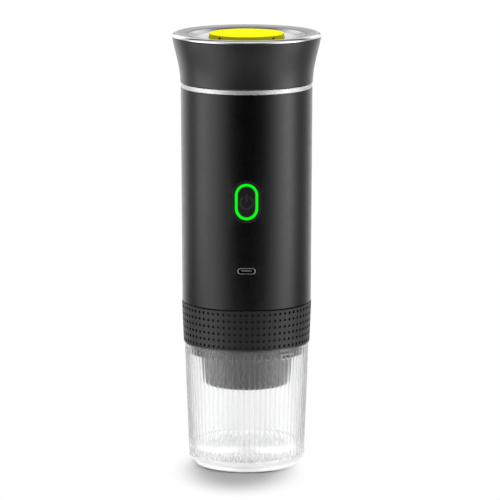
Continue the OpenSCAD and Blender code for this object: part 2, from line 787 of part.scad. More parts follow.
// Threaded neck that carries the tank and takes the lid
module neck_collar() {
    flange_r = min(shell_top_r, shell_r(z_neck_flange)) - shell_wall - snug;
    color([0.16, 0.16, 0.17]) rotate_extrude() polygon([
        [collar_in_r, z_neck_flange], [flange_r, z_neck_flange], [flange_r, z_shell_top],
        [collar_out_r, z_shell_top], [collar_out_r, z_neck_top], [collar_in_r, z_neck_top]
    ]);
}

// Deep-drawn steel tank that hangs by its lip, with an outlet nipple in its floor
module water_tank() {
    z_nipple = z_inlet_mid + nozzle_end_gap;
    inner_corner = tank_corner - tank_sheet;
    color([0.8, 0.8, 0.82]) difference() {
        union() {
            rotate_extrude() polygon(concat(
                [[0, z_tank]],
                arc([tank_out_r - tank_corner, z_tank + tank_corner], tank_corner, tank_corner, -90, 0),
                [
                    [tank_out_r, z_neck_top], [collar_out_r, z_neck_top], [collar_out_r, z_tank_lip],
                    [tank_r, z_tank_lip]
                ],
                arc([tank_r - inner_corner, z_tank + tank_corner], inner_corner, inner_corner, 0, -90),
                [[0, z_tank + tank_sheet]]
            ));
            at_pump() translate([0, 0, z_nipple])
                cylinder(r = nozzle_r, h = z_tank - z_nipple + tank_sheet / 2);
        }
        at_pump() translate([0, 0, z_nipple - 1])
            cylinder(r = nozzle_bore_r, h = z_tank - z_nipple + 1 + 2 * tank_sheet);
    }
}

// Foam wrap that keeps the tank's heat off the hand
module tank_foam() {
    color([0.85, 0.82, 0.74]) translate([0, 0, z_foam])
        tube(foam_r, foam_r - foam_t, z_neck_flange - fit_gap - z_foam);
}

// Heating plate under the tank's floor
module heater_plate() {
    color([0.7, 0.71, 0.72]) difference() {
        translate([0, 0, z_heater]) cylinder(r = heater_r, h = heater_t);
        at_pump() translate([0, 0, z_heater - 1]) cylinder(r = nozzle_r + fit_gap, h = heater_t + 2);
    }
}

// Heat-proof pad between the heater and the clamp
module heater_pad() {
    color([0.5, 0.3, 0.25]) difference() {
        translate([0, 0, z_clamp_top]) cylinder(r = heater_r, h = heater_pad_t);
        at_pump() translate([0, 0, z_clamp_top - 1]) cylinder(r = nozzle_r + fit_gap, h = heater_pad_t + 2);
        translate([0, cutout_y, z_clamp_top - 1]) cylinder(r = cutout_r + snug, h = heater_pad_t + 2);
    }
}

// Disc thermostat pressed against the heater from below
module thermal_cutout() {
    h = cutout_sink + heater_pad_t;
    color([0.3, 0.25, 0.2]) translate([0, cutout_y, z_heater - h]) {
        cylinder(r = cutout_r, h = h / 2);
        cylinder(r = cutout_r * 0.8, h = h);
    }
}

// Moulded frame: lower disc with cell pockets, and four posts for the tie screws
module inner_frame() {
    color([0.22, 0.22, 0.24]) difference() {
        union() {
            translate([0, 0, z_deck]) cylinder(r = frame_r, h = frame_t);
            at_posts() translate([0, 0, z_deck]) cylinder(r = post_r, h = z_clamp - z_deck);
        }
        at_cells() translate([0, 0, z_cell - strap_t]) cylinder(r = cell_r + snug, h = cell_l);
        translate([0, 0, z_cell - strap_t]) strap(cell_angles[0], cell_angles[1], snug, pocket_h + 1);
        at_pump() translate([0, 0, z_deck - 1]) cylinder(r = nozzle_r + fit_gap, h = frame_t + 2);
        board_blank(snug);
        at_posts() translate([0, 0, z_deck - 1]) cylinder(r = screw_r + snug, h = cell_l + 2 * frame_t);
    }
}

// Plate that holds the cells, the board and the pump's hose from above
module cell_clamp() {
    color([0.22, 0.22, 0.24]) difference() {
        translate([0, 0, z_clamp]) cylinder(r = clamp_r, h = clamp_t);
        at_cells() translate([0, 0, z_cell]) cylinder(r = cell_r + snug, h = cell_l + strap_t);
        translate([0, 0, z_cell_top + strap_t - pocket_h - 1])
            strap(cell_angles[1], cell_angles[2], snug, pocket_h + 1 + snug);
        at_pump() translate([0, 0, z_clamp - 1]) cylinder(r = hose_r + fit_gap, h = clamp_t + 2);
        board_blank(snug);
        at_posts() translate([0, 0, z_clamp - 1]) cylinder(r = screw_r + snug, h = clamp_t + 2);
        translate([0, cutout_y, z_clamp_top - cutout_sink]) cylinder(r = cutout_r + snug, h = clamp_t);
    }
}

// Four long screws from the clamp down into the base flange
module tie_screws() {
    z_tip = z_shell + base_t / 2;
    color([0.6, 0.6, 0.62]) at_posts() {
        translate([0, 0, z_clamp_top]) cylinder(r = screw_head_r, h = screw_head_h);
        translate([0, 0, z_tip]) cylinder(r = screw_r, h = z_clamp_top + screw_head_h / 2 - z_tip);
    }
}

// Three round cells, the middle one upside down
module battery_cells() {
    color([0.2, 0.35, 0.6]) for (i = [0:len(cell_angles) - 1]) rotate(cell_angles[i])
        translate([cell_ring_r, 0, (z_cell + z_cell_top) / 2]) rotate([180 * (i % 2), 0, 0]) cell();
}

// One cell about its middle: wrapped can with a crimp groove and a small positive cap
module cell() {
    cap_h = 0.8;
    cap_r = cell_r / 3;
    groove = 0.6;
    half = cell_l / 2;
    rotate_extrude() polygon([
        [0, -half], [cell_r, -half], [cell_r, half - 5 * groove], [cell_r - groove, half - 4.5 * groove],
        [cell_r, half - 4 * groove], [cell_r, half - cap_h], [cap_r, half - cap_h], [cap_r, half], [0, half]
    ]);
}

// Flat strip between two cells of the ring, grown by gap on each side
module strap(a, b, gap, h) {
    from = cell_ring_r * [cos(a), sin(a)];
    to = cell_ring_r * [cos(b), sin(b)];
    across = to - from;
    translate([from[0], from[1], 0]) rotate(atan2(across[1], across[0]))
        translate([-strap_w / 2 - gap, -strap_w / 2 - gap, 0])
            cube([norm(across) + strap_w + 2 * gap, strap_w + 2 * gap, h]);
}

// Welded strips that join the cells in a row: one pair below, one pair above
module cell_straps() {
    color([0.75, 0.74, 0.7]) {
        translate([0, 0, z_cell - strap_t]) strap(cell_angles[0], cell_angles[1], 0, strap_t);
        translate([0, 0, z_cell_top]) strap(cell_angles[1], cell_angles[2], 0, strap_t);
    }
}

// Outline of the control board, grown by gap
module board_blank(gap) {
    z = z_frame_top - board_slot - gap;
    translate([-board_w / 2 - gap, -board_front - gap, z])
        cube([board_w + 2 * gap, board_t + 2 * gap, z_clamp + board_slot + gap - z]);
}

module control_board() {
    color([0.05, 0.3, 0.15]) board_blank(0);
}

// Upright charging receptacle: seamless steel mouth, moulded back and contact tongue
module usb_c_receptacle() {
    back = 1;
    tongue_short = 1.2;
    color([0.75, 0.75, 0.77]) {
        difference() {
            front_prism(z_port, board_front, port_l) rotate(90) obround(port_h, port_w);
            front_prism(z_port, board_front + back, port_l)
                rotate(90) obround(port_h - 2 * port_sheet, port_w - 2 * port_sheet);
        }
        front_prism(z_port, board_front + back / 2, port_l - tongue_short)
            square([tongue_w, tongue_t], center = true);
    }
}

// Square push switch with a bore for its plunger
module tact_switch() {
    back = 0.4;
    color([0.12, 0.12, 0.12]) difference() {
        front_prism(z_button, board_front, switch_h) square(switch_w, center = true);
        front_prism(z_button, board_front + back, switch_h) circle(r = switch_pin_r + fit_gap);
    }
}

// Four small lights behind the middle of the light ring
module status_leds() {
    side = (light_in_w + light_out_w) / 4;
    end = (light_in_l + light_out_l) / 4;
    color([0.9, 0.95, 0.85]) for (at = [[side, 0], [-side, 0], [0, end], [0, -end]])
        front_prism(z_button, board_front, led_h) translate(at) square(led_w, center = true);
}

// Frame around the light ring, held behind the shell by its flange
module button_bezel() {
    flange = 1;
    color([0.1, 0.1, 0.105]) difference() {
        union() {
            intersection() {
                front_prism(z_button, button_back, shell_top_r) obround(bezel_out_w, bezel_out_l);
                shell_core(bezel_proud);
            }
            intersection() {
                front_prism(z_button, button_back - flange, shell_top_r)
                    obround(bezel_out_w + 2 * bezel_flange_w, bezel_out_l + 2 * bezel_flange_w);
                shell_core(-shell_wall - snug);
            }
        }
        front_prism(z_button, 0, 2 * shell_top_r) obround(light_out_w + 2 * snug, light_out_l + 2 * snug);
    }
}

// Light guide that glows around the button
module light_ring() {
    color([0.1, 0.95, 0.15]) intersection() {
        front_prism(z_button, board_front + led_h + fit_gap, shell_top_r) difference() {
            obround(light_out_w, light_out_l);
            obround(light_in_w, light_in_l);
        }
        shell_core(bezel_proud / 2);
    }
}

// Button cap that follows the shell's curve
module power_button() {
    color([0.09, 0.09, 0.095]) intersection() {
        front_prism(z_button, button_back, shell_top_r) obround(button_w, button_l);
        shell_core(-button_sunk);
    }
}

// Pin of the push switch, which the cap drives
module switch_plunger() {
    from = board_front + switch_h / 2 - button_travel;
    color([0.8, 0.8, 0.75]) front_prism(z_button, from, button_back - from) circle(r = switch_pin_r);
}

// Valve head with the piston's chamber, the valve seat and the outlet nozzle
module pump_head() {
    z_nozzle = z_outlet_mid + nozzle_end_gap;
    head_r = pump_r - can_sheet;
    color([0.78, 0.65, 0.35]) at_pump() rotate_extrude() polygon([
        [nozzle_bore_r, z_nozzle], [nozzle_r, z_nozzle], [nozzle_r, z_frame_top], [head_r, z_frame_top],
        [head_r, z_can], [guide_r + snug, z_can], [guide_r + snug, z_guide], [chamber_r, z_guide],
        [chamber_r, z_chamber], [nozzle_bore_r, z_chamber], [nozzle_bore_r, z_valve],
        [valve_r, z_valve], [valve_r, z_valve_floor], [nozzle_bore_r, z_valve_floor]
    ]);
}

// Duckbill valve that lets water out and not back
module check_valve() {
    flange_h = valve_h / 2;
    bill_r = nozzle_bore_r / 2;
    wall = nozzle_bore_r / 3;
    color([0.75, 0.25, 0.2]) at_pump() rotate_extrude() polygon([
        [bill_r - wall, z_valve_floor + snug], [bill_r, z_valve_floor + snug],
        [nozzle_bore_r + wall, z_valve - flange_h], [valve_r - snug, z_valve - flange_h],
        [valve_r - snug, z_valve], [nozzle_bore_r, z_valve], [nozzle_bore_r, z_valve - flange_h]
    ]);
}

// Steel can that closes the coil's magnetic path
module pump_can() {
    hole_r = guide_r + snug;
    color([0.6, 0.61, 0.63]) at_pump() rotate_extrude() polygon([
        [hole_r, z_can], [pump_r, z_can], [pump_r, z_can_top], [hole_r, z_can_top],
        [hole_r, z_can_top - can_sheet], [pump_r - can_sheet, z_can_top - can_sheet],
        [pump_r - can_sheet, z_can + can_sheet], [hole_r, z_can + can_sheet]
    ]);
}

bobbin_wall = 0.8;
bobbin_tube_r = guide_r + snug + bobbin_wall;
bobbin_r = pump_r - can_sheet - fit_gap;

// Spool that carries the winding
module coil_bobbin() {
    low = z_can + can_sheet;
    high = z_can_top - can_sheet;
    color([0.9, 0.88, 0.8]) at_pump() rotate_extrude() polygon([
        [guide_r + snug, low], [bobbin_r, low], [bobbin_r, low + bobbin_wall],
        [bobbin_tube_r, low + bobbin_wall], [bobbin_tube_r, high - bobbin_wall],
        [bobbin_r, high - bobbin_wall], [bobbin_r, high], [guide_r + snug, high]
    ]);
}

// Copper winding, drawn as its outer shape inside the closed can
module pump_coil() {
    low = z_can + can_sheet + bobbin_wall;
    color([0.72, 0.4, 0.2]) at_pump() translate([0, 0, low])
        tube(bobbin_r - fit_gap, bobbin_tube_r + snug, z_can_top - can_sheet - bobbin_wall - low);
}

// Brass tube in which the plunger slides
module plunger_guide() {
    color([0.78, 0.65, 0.35]) at_pump() translate([0, 0, z_guide])
        tube(guide_r, guide_bore_r, z_guide_top - z_guide);
}

// Magnetic plunger with its hollow piston
module pump_plunger() {
    color([0.55, 0.56, 0.58]) at_pump() rotate_extrude() polygon([
        [plunger_bore_r, z_piston], [piston_r, z_piston], [piston_r, z_plunger], [plunger_r, z_plunger],
        [plunger_r, z_plunger_top], [plunger_bore_r, z_plunger_top]
    ]);
}

pump_spring_turns = 5;

// Spring between the valve head and the plunger
module return_spring() {
    color([0.7, 0.7, 0.72]) at_pump()
        coil_spring(pump_spring_r, z_guide, z_plunger - z_guide, pump_spring_turns);
}

// Spring between the plunger and the inlet cap
module buffer_spring() {
    color([0.7, 0.7, 0.72]) at_pump()
        coil_spring(pump_spring_r, z_plunger_top, z_guide_top - z_plunger_top, pump_spring_turns);
}

// Cap that closes the guide tube, with the inlet nozzle
module pump_inlet() {
    cap_r = 1.5 * guide_r;
    z_nozzle = z_inlet_mid - nozzle_end_gap;
    color([0.16, 0.16, 0.17]) at_pump() rotate_extrude() polygon([
        [guide_r + snug, z_can_top], [cap_r, z_can_top], [cap_r, z_inlet_top], [nozzle_r, z_inlet_top],
        [nozzle_r, z_nozzle], [nozzle_bore_r, z_nozzle], [nozzle_bore_r, z_guide_top],
        [guide_r + snug, z_guide_top]
    ]);
}

// Silicone hose from the tank's nipple to the pump
module inlet_hose() {
    color([0.9, 0.88, 0.85]) at_pump() translate([0, 0, z_inlet_hose])
        tube(hose_r, hose_in_r, z_clamp_top - z_inlet_hose);
}

// Silicone hose from the pump to the group head
module outlet_hose() {
    color([0.9, 0.88, 0.85]) at_pump() translate([0, 0, z_outlet_hose])
        tube(hose_r, hose_in_r, z_shell - z_outlet_hose);
}

// Flared outer skin of the lid, with the shelf that the liner hangs from
module lid_shell() {
    bore_r = liner_r + snug;
    curve_steps = 20;
    rise = z_lid_edge - z_lid;
    outer = [for (i = [1:curve_steps]) let (z = z_lid + rise * i / curve_steps) [lid_r(z), z]];
    z_shelf_top = z_shelf + shelf_t;
    inner_rise = z_lid_edge - z_shelf_top;
    inner = [
        for (i = [curve_steps:-1:0]) let (z = z_shelf_top + inner_rise * i / curve_steps)
            [lid_r(z) - lid_wall, z]
    ];
    color([0.1, 0.1, 0.105]) difference() {
        rotate_extrude() polygon(concat(
            [[bore_r, z_lid], [lid_low_r - edge_cut / 2, z_lid], [lid_low_r, z_lid + edge_cut / 2]],
            outer, inner, [[shelf_in_r, z_shelf_top], [shelf_in_r, z_shelf], [bore_r, z_shelf]]
        ));
        at_lid_screws() translate([0, 0, z_shelf - 1]) cylinder(r = screw_r + snug, h = shelf_t + 2);
    }
}

// Metal top: polished rounded rim, flat ring and a shallow dish around the button
module lid_top_plate() {
    skirt_r = lid_r(z_lid_edge - skirt_h) - lid_wall - snug;
    dish_w = flat_in_r - dish_floor_r;
    dish = [
        for (i = [0:arc_steps]) let (t = i / arc_steps)
            [flat_in_r - dish_w * t, z_top - dish_depth * sin(90 * t)]
    ];
    under = [for (i = [arc_steps:-1:0]) [dish[i][0], dish[i][1] - plate_t]];
    color([0.78, 0.79, 0.8]) rotate_extrude() polygon(concat(
        [[lid_top_r, z_lid_edge]],
        arc([lid_top_r - rim_w, z_lid_edge], rim_w, rim_h, 0, 90),
        dish, [[well_r, z_dish], [well_r, z_dish - plate_t]], under,
        [
            [skirt_r - plate_t, z_top - plate_t], [skirt_r - plate_t, z_lid_edge - skirt_h],
            [skirt_r, z_lid_edge - skirt_h], [skirt_r, z_lid_edge]
        ]
    ));
}

// Inner cap with the thread, the vent holes and the guide for the valve stem
module lid_liner() {
    color([0.18, 0.18, 0.19]) difference() {
        rotate_extrude() polygon([
            [stem_r + fit_gap, z_liner], [liner_in_r, z_liner], [liner_in_r, z_lid + seam],
            [liner_r, z_lid + seam], [liner_r, z_shelf], [hub_r, z_shelf], [hub_r, z_shelf + hub_h],
            [stem_r + fit_gap, z_shelf + hub_h]
        ]);
        for (a = [45:90:315]) rotate(a) translate([vent_hole_ring_r, 0, z_liner - 1])
            cylinder(r = vent_hole_r, h = liner_floor + 2);
        at_lid_screws() translate([0, 0, z_liner - 1]) cylinder(r = screw_r + snug, h = liner_floor + 2);
    }
}

// Soft ring between the tank's lip and the liner
module lid_seal() {
    color([0.9, 0.88, 0.85]) translate([0, 0, z_tank_lip])
        tube(collar_out_r + fit_gap, seal_in_r, seal_h);
}

// Screws that hold the liner to the lid's shelf
module lid_screws() {
    color([0.7, 0.7, 0.72]) at_lid_screws() {
        translate([0, 0, z_liner - screw_head_h]) cylinder(r = screw_head_r, h = screw_head_h);
        translate([0, 0, z_liner - screw_head_h / 2]) cylinder(r = screw_r, h = liner_floor + shelf_t);
    }
}

// Round vent button with a rounded edge, four notches and a retaining flange below
module vent_button() {
    socket_h = 3;
    color([1, 0.95, 0.1]) difference() {
        union() {
            rotate_extrude() polygon(concat(
                [
                    [0, z_vent_roof], [vent_hollow_r, z_vent_roof], [vent_hollow_r, z_vent_flange],
                    [vent_flange_r, z_vent_flange], [vent_flange_r, z_vent_flange_top],
                    [vent_r, z_vent_flange_top]
                ],
                arc([vent_r - vent_round, z_vent_top - vent_round], vent_round, vent_round, 0, 90),
                [[0, z_vent_top]]
            ));
            translate([0, 0, z_vent_roof - socket_h]) tube(hub_r, stem_r + snug, socket_h + vent_top_t / 2);
        }
        for (a = [45:90:315]) rotate(a) translate([vent_r - notch_w, -notch_w / 2, z_dish])
            cube([2 * notch_w, notch_w, notch_w / 2]);
    }
}

// Stem from the button down to the valve seal
module vent_stem() {
    color([0.85, 0.85, 0.83]) rotate_extrude() polygon([
        [0, z_stem], [stem_head_r, z_stem], [stem_head_r, z_valve_seal], [stem_r, z_valve_seal],
        [stem_r, z_vent_roof], [0, z_vent_roof]
    ]);
}

// Soft disc that closes the vent holes from below until the button is pressed
module vent_seal() {
    color([0.75, 0.25, 0.2]) translate([0, 0, z_valve_seal]) tube(valve_seal_r, stem_r + snug, valve_seal_h);
}

// Spring that lifts the vent button
module vent_spring() {
    color([0.7, 0.7, 0.72]) coil_spring(vent_spring_r, z_shelf, z_vent_roof - z_shelf, vent_spring_turns);
}

cup();
brew_head();
grip_sleeve();
filter_basket();
filter_disc();
group_gasket();
group_head();
shower_screen();
shower_screw();
outer_shell();
trim_ring();
neck_collar();
water_tank();
tank_foam();
heater_plate();
heater_pad();
thermal_cutout();
inner_frame();
cell_clamp();
tie_screws();
battery_cells();
cell_straps();
control_board();
usb_c_receptacle();
tact_switch();
status_leds();
button_bezel();
light_ring();
power_button();
switch_plunger();
pump_head();
check_valve();
pump_can();
coil_bobbin();
pump_coil();
plunger_guide();
pump_plunger();
return_spring();
buffer_spring();
pump_inlet();
inlet_hose();
outlet_hose();
lid_shell();
lid_top_plate();
lid_liner();
lid_seal();
lid_screws();
vent_button();
vent_stem();
vent_seal();
vent_spring();
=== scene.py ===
import json
import math

import bpy
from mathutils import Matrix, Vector

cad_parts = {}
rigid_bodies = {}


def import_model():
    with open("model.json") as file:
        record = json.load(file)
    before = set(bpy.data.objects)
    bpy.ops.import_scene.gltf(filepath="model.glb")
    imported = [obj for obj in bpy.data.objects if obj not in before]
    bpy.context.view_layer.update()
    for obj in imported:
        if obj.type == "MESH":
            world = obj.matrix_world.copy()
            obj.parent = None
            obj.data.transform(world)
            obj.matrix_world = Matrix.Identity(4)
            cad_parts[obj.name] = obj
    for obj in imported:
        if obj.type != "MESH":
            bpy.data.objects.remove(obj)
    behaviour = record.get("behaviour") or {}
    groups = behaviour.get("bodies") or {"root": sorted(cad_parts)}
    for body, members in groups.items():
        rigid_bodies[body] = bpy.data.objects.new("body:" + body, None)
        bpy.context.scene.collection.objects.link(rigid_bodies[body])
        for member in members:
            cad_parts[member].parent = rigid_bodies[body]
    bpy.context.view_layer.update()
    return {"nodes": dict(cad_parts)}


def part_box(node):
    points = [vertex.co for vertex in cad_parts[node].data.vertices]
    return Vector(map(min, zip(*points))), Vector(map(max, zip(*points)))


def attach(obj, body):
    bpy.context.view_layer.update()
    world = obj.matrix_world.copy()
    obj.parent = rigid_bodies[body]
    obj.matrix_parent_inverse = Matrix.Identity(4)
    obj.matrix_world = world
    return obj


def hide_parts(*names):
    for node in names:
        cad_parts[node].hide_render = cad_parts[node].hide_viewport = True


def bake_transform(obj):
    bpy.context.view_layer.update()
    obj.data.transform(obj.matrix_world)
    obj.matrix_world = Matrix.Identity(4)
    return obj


# The fixed frame
# The imported part gives every solid at its real size and place, in metres, with the front at -Y.
bpy.ops.object.select_all(action="SELECT")
bpy.ops.object.delete()
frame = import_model()
nodes = frame["nodes"]

# Cup
# Clear tumbler, moulded in one shot: a smooth bore and a thick floor on a ring foot, seventy
# shallow flutes up the outside, and an oval pull pad on either side just under the rim.
mm = 0.001
smooth_up_to = 35
bevel_over = 40
cut_over = 1
cup_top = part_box("cup")[1].z / mm
cup_rim_r = 30.6
cup_heel_r = 28.5
cup_heel_z = 5.6
cup_foot_r = 25.2
cup_foot_in_r = 22
cup_wall = 1.9
cup_floor_z = 9.4
heel_low_z = 1.9
heel_steps = 8
foot_recess = 4.8
foot_recess_r = 21
flute_count = 70
flute_depth = 0.075
flute_columns = 8
flute_low_z = 6.2
flute_top_z = 59.9
flute_end = 0.4
flute_slack = 0.1
wall_rows = 7
column = 2 * math.pi / (flute_count * flute_columns)
ridge_edges = (0.1, 0.3)
ridge_cloud = 0.24
ridge_milk = 0.35
dash_edges = (0.12, 0.2)
dash_cloud = 0.5
dash_low = 5.9
dash_top = 9.4
dash_blur = 0.3
foot_cloud = 0.3
rim_cloud = 0.08
rim_blur = 0.6
clear_share = 0.98
matt_low = 0.14
matt_high = 0.07
matt_top = 28
pad_w = 8.2
pad_h = 2.6
pad_z = 57.7
pad_proud = 0.25
pad_round = 0.2
pad_edge_w = 0.45
pad_edge_proud = 0.2
pad_edge_round = 0.12
pad_angle = math.radians(40)


def evenly(low, high, steps):
    """Values from low to high in even steps."""
    return [low + (high - low) * i / steps for i in range(steps + 1)]


def rounded(corners, steps=4):
    """Points of a section in millimetres. A corner is (radius, height, rounding)."""
    points = []
    for i, (r, z, rounding) in enumerate(corners):
        corner = Vector((r, z))
        if rounding == 0:
            points.append(corner)
            continue
        before = (Vector(corners[i - 1][:2]) - corner).normalized()
        after = (Vector(corners[(i + 1) % len(corners)][:2]) - corner).normalized()
        reach = rounding / math.tan(before.angle(after) / 2)
        for k in range(steps + 1):
            t = k / steps
            points.append(corner + before * reach * (1 - t) ** 2 + after * reach * t ** 2)
    return points


def drawn(name, points):
    """A section in the XZ plane, drawn out from its first point and left open for editing."""
    bpy.ops.mesh.primitive_plane_add(size=mm)
    piece = bpy.context.object
    piece.name = name
    bpy.ops.object.mode_set(mode="EDIT")
    bpy.ops.mesh.merge(type="CENTER")
    here = Vector((0, 0))
    for i, point in enumerate(points):
        step = (mm * (point[0] - here[0]), 0, mm * (point[1] - here[1]))
        if i == 0:
            bpy.ops.transform.translate(value=step)
        else:
            bpy.ops.mesh.extrude_region_move(TRANSFORM_OT_translate={"value": step})
        here = point
    return piece


def weld():
    """Merge the doubles of the piece that is open for editing."""
    bpy.ops.mesh.select_all(action="SELECT")
    bpy.ops.mesh.remove_doubles(threshold=mm / 1000)


def close_up(piece, crease=smooth_up_to):
    """Merge a piece's doubles, turn its faces outwards and shade it smooth up to an angle."""
    weld()
    bpy.ops.mesh.normals_make_consistent(inside=False)
    bpy.ops.object.mode_set(mode="OBJECT")
    bpy.ops.object.shade_smooth_by_angle(angle=math.radians(crease))
    return piece


def turned(name, points, sides=256):
    """A turned piece: its section is drawn and spun about the axis."""
    piece = drawn(name, points)
    bpy.ops.mesh.select_all(action="SELECT")
    bpy.ops.mesh.spin(steps=sides, angle=2 * math.pi, center=(0, 0, 0), axis=(0, 0, 1))
    return close_up(piece)


def take(piece):
    """Take up one piece alone, out of edit mode."""
    bpy.context.view_layer.objects.active = piece
    bpy.ops.object.mode_set(mode="OBJECT")
    bpy.ops.object.select_all(action="DESELECT")
    piece.select_set(True)


def pick(piece, test):
    """Select a piece's vertices by a test on their place in millimetres, open for editing."""
    take(piece)
    bpy.ops.object.mode_set(mode="EDIT")
    bpy.ops.mesh.select_mode(type="VERT")
    bpy.ops.mesh.select_all(action="DESELECT")
    bpy.ops.object.mode_set(mode="OBJECT")
    for vertex in piece.data.vertices:
        vertex.select = test(vertex.co / mm)
    bpy.ops.object.mode_set(mode="EDIT")


def obround(name, width, length, upright=True, sides=62):
    """A flat face with half-round ends, seen from the front, with its middle at the origin."""
    bpy.ops.mesh.primitive_circle_add(vertices=sides, radius=mm * width / 2, fill_type="NGON")
    piece = bpy.context.object
    piece.name = name
    for side in (-1, 1):
        pick(piece, lambda p: p.y * side > 0)
        bpy.ops.transform.translate(value=(0, side * mm * (length - width) / 2, 0))
    bpy.ops.object.mode_set(mode="OBJECT")
    piece.rotation_euler = (math.pi / 2, 0 if upright else math.pi / 2, 0)
    bpy.ops.object.transform_apply(location=True, rotation=True, scale=True)
    return piece


def pull(piece, depth):
    """Pull a flat face at the front back into a solid."""
    bpy.ops.object.mode_set(mode="EDIT")
    bpy.ops.mesh.select_all(action="SELECT")
    bpy.ops.mesh.extrude_region_move(TRANSFORM_OT_translate={"value": (0, mm * depth, 0)})
    return close_up(piece)


def band(name, width, length, wall, depth, upright=True):
    """A ring with half-round ends, pulled back from the front: an outline less its inside."""
    ring = pull(obround(name, width, length, upright), depth)
    hole = pull(obround("hole", width - 2 * wall, length - 2 * wall, upright), depth + 2 * cut_over)
    move(hole, y=-cut_over)
    combine(ring, hole, "DIFFERENCE")
    return ring


def move(piece, x=0, y=0, z=0, turn=0):
    """Move a piece in millimetres, turn it about the axis, and leave its place in its mesh."""
    take(piece)
    piece.location = (mm * x, mm * y, mm * z)
    bpy.ops.object.transform_apply(location=True, rotation=False, scale=False)
    piece.rotation_euler = (0, 0, turn)
    bpy.ops.object.transform_apply(location=False, rotation=True, scale=False)
    return piece


def combine(piece, tool, operation):
    """Join a tool to a piece, or cut it away, and clear the tool."""
    take(piece)
    change = piece.modifiers.new(operation, "BOOLEAN")
    change.operation = operation
    change.object = tool
    change.solver = "EXACT"
    bpy.ops.object.modifier_apply(modifier=change.name)
    bpy.data.objects.remove(tool)
    bpy.ops.object.shade_smooth_by_angle(angle=math.radians(smooth_up_to))


def soften(piece, width, segments=3):
    """Round a piece's sharp edges by a width in millimetres."""
    take(piece)
    edge = piece.modifiers.new("soft_edge", "BEVEL")
    edge.width = mm * width
    edge.segments = segments
    edge.limit_method = "ANGLE"
    edge.angle_limit = math.radians(bevel_over)
    bpy.ops.object.modifier_apply(modifier=edge.name)
    bpy.ops.object.shade_smooth_by_angle(angle=math.radians(smooth_up_to))


def new_finish(name):
    """A material, its nodes, its shader and the piece's own coordinates."""
    finish = bpy.data.materials.new(name)
    finish.use_nodes = True
    tree = finish.node_tree
    place = tree.nodes.new("ShaderNodeTexCoord").outputs["Object"]
    return finish, tree, tree.nodes["Principled BSDF"], place


def coat(piece, *finishes):
    """Give a piece its finishes, in the order of their slots."""
    for finish in finishes:
        piece.data.materials.append(finish)


def add_node(tree, kind, inputs):
    """A node whose inputs, by name or number, are set to a value or linked to a socket."""
    node = tree.nodes.new(kind)
    for name, value in inputs.items():
        if isinstance(value, bpy.types.NodeSocket):
            tree.links.new(value, node.inputs[name])
        else:
            node.inputs[name].default_value = value
    return node


def noise(tree, place, size, detail=2, stretch=(1, 1, 1)):
    """Noise with a grain of about that size in millimetres, drawn out by stretch."""
    drawn_out = {"Vector": place, "Scale": [1 / s for s in stretch]}
    mapping = add_node(tree, "ShaderNodeMapping", drawn_out)
    grain = {"Vector": mapping.outputs["Vector"], "Scale": 1 / (mm * size), "Detail": detail}
    return add_node(tree, "ShaderNodeTexNoise", grain).outputs["Fac"]


def between(tree, value, low, high, start=0, end=1, ease="SMOOTHSTEP"):
    """Run from start to end as a value goes from low to high, eased or, with LINEAR, evenly."""
    ends = {"From Min": low, "From Max": high, "To Min": start, "To Max": end}
    run = add_node(tree, "ShaderNodeMapRange", {"Value": value, **ends})
    run.interpolation_type = ease
    return run.outputs["Result"]


def vary(tree, factor, low, high, edges=(0.3, 0.7)):
    """Drive the shader's roughness between two values."""
    roughness = between(tree, factor, *edges, low, high, "LINEAR")
    tree.links.new(roughness, tree.nodes["Principled BSDF"].inputs["Roughness"])


def tint(tree, factor, dark, light, edges=(0.35, 0.65), socket="Base Color"):
    """Drive a colour of the shader between two colours."""
    ramp = add_node(tree, "ShaderNodeValToRGB", {"Fac": factor})
    for stop, at, colour in zip(ramp.color_ramp.elements, edges, (dark, light)):
        stop.position = at
        stop.color = (*colour, 1)
    tree.links.new(ramp.outputs["Color"], tree.nodes["Principled BSDF"].inputs[socket])


def relief(tree, factor, height, strength=0.5):
    """Raise the surface by a height in millimetres where the factor is high."""
    raised = {"Height": factor, "Strength": strength, "Distance": mm * height}
    bump = add_node(tree, "ShaderNodeBump", raised)
    tree.links.new(bump.outputs["Normal"], tree.nodes["Principled BSDF"].inputs["Normal"])


def calculate(tree, operation, first, second):
    """One step of arithmetic between sockets or numbers."""
    step = add_node(tree, "ShaderNodeMath", {0: first, 1: second})
    step.operation = operation
    return step.outputs["Value"]


def times(tree, first, second):
    """The product of two sockets or numbers."""
    return calculate(tree, "MULTIPLY", first, second)


def distance(tree, place):
    """How far a place is from the origin."""
    measure = add_node(tree, "ShaderNodeVectorMath", {0: place})
    measure.operation = "LENGTH"
    return measure.outputs["Value"]


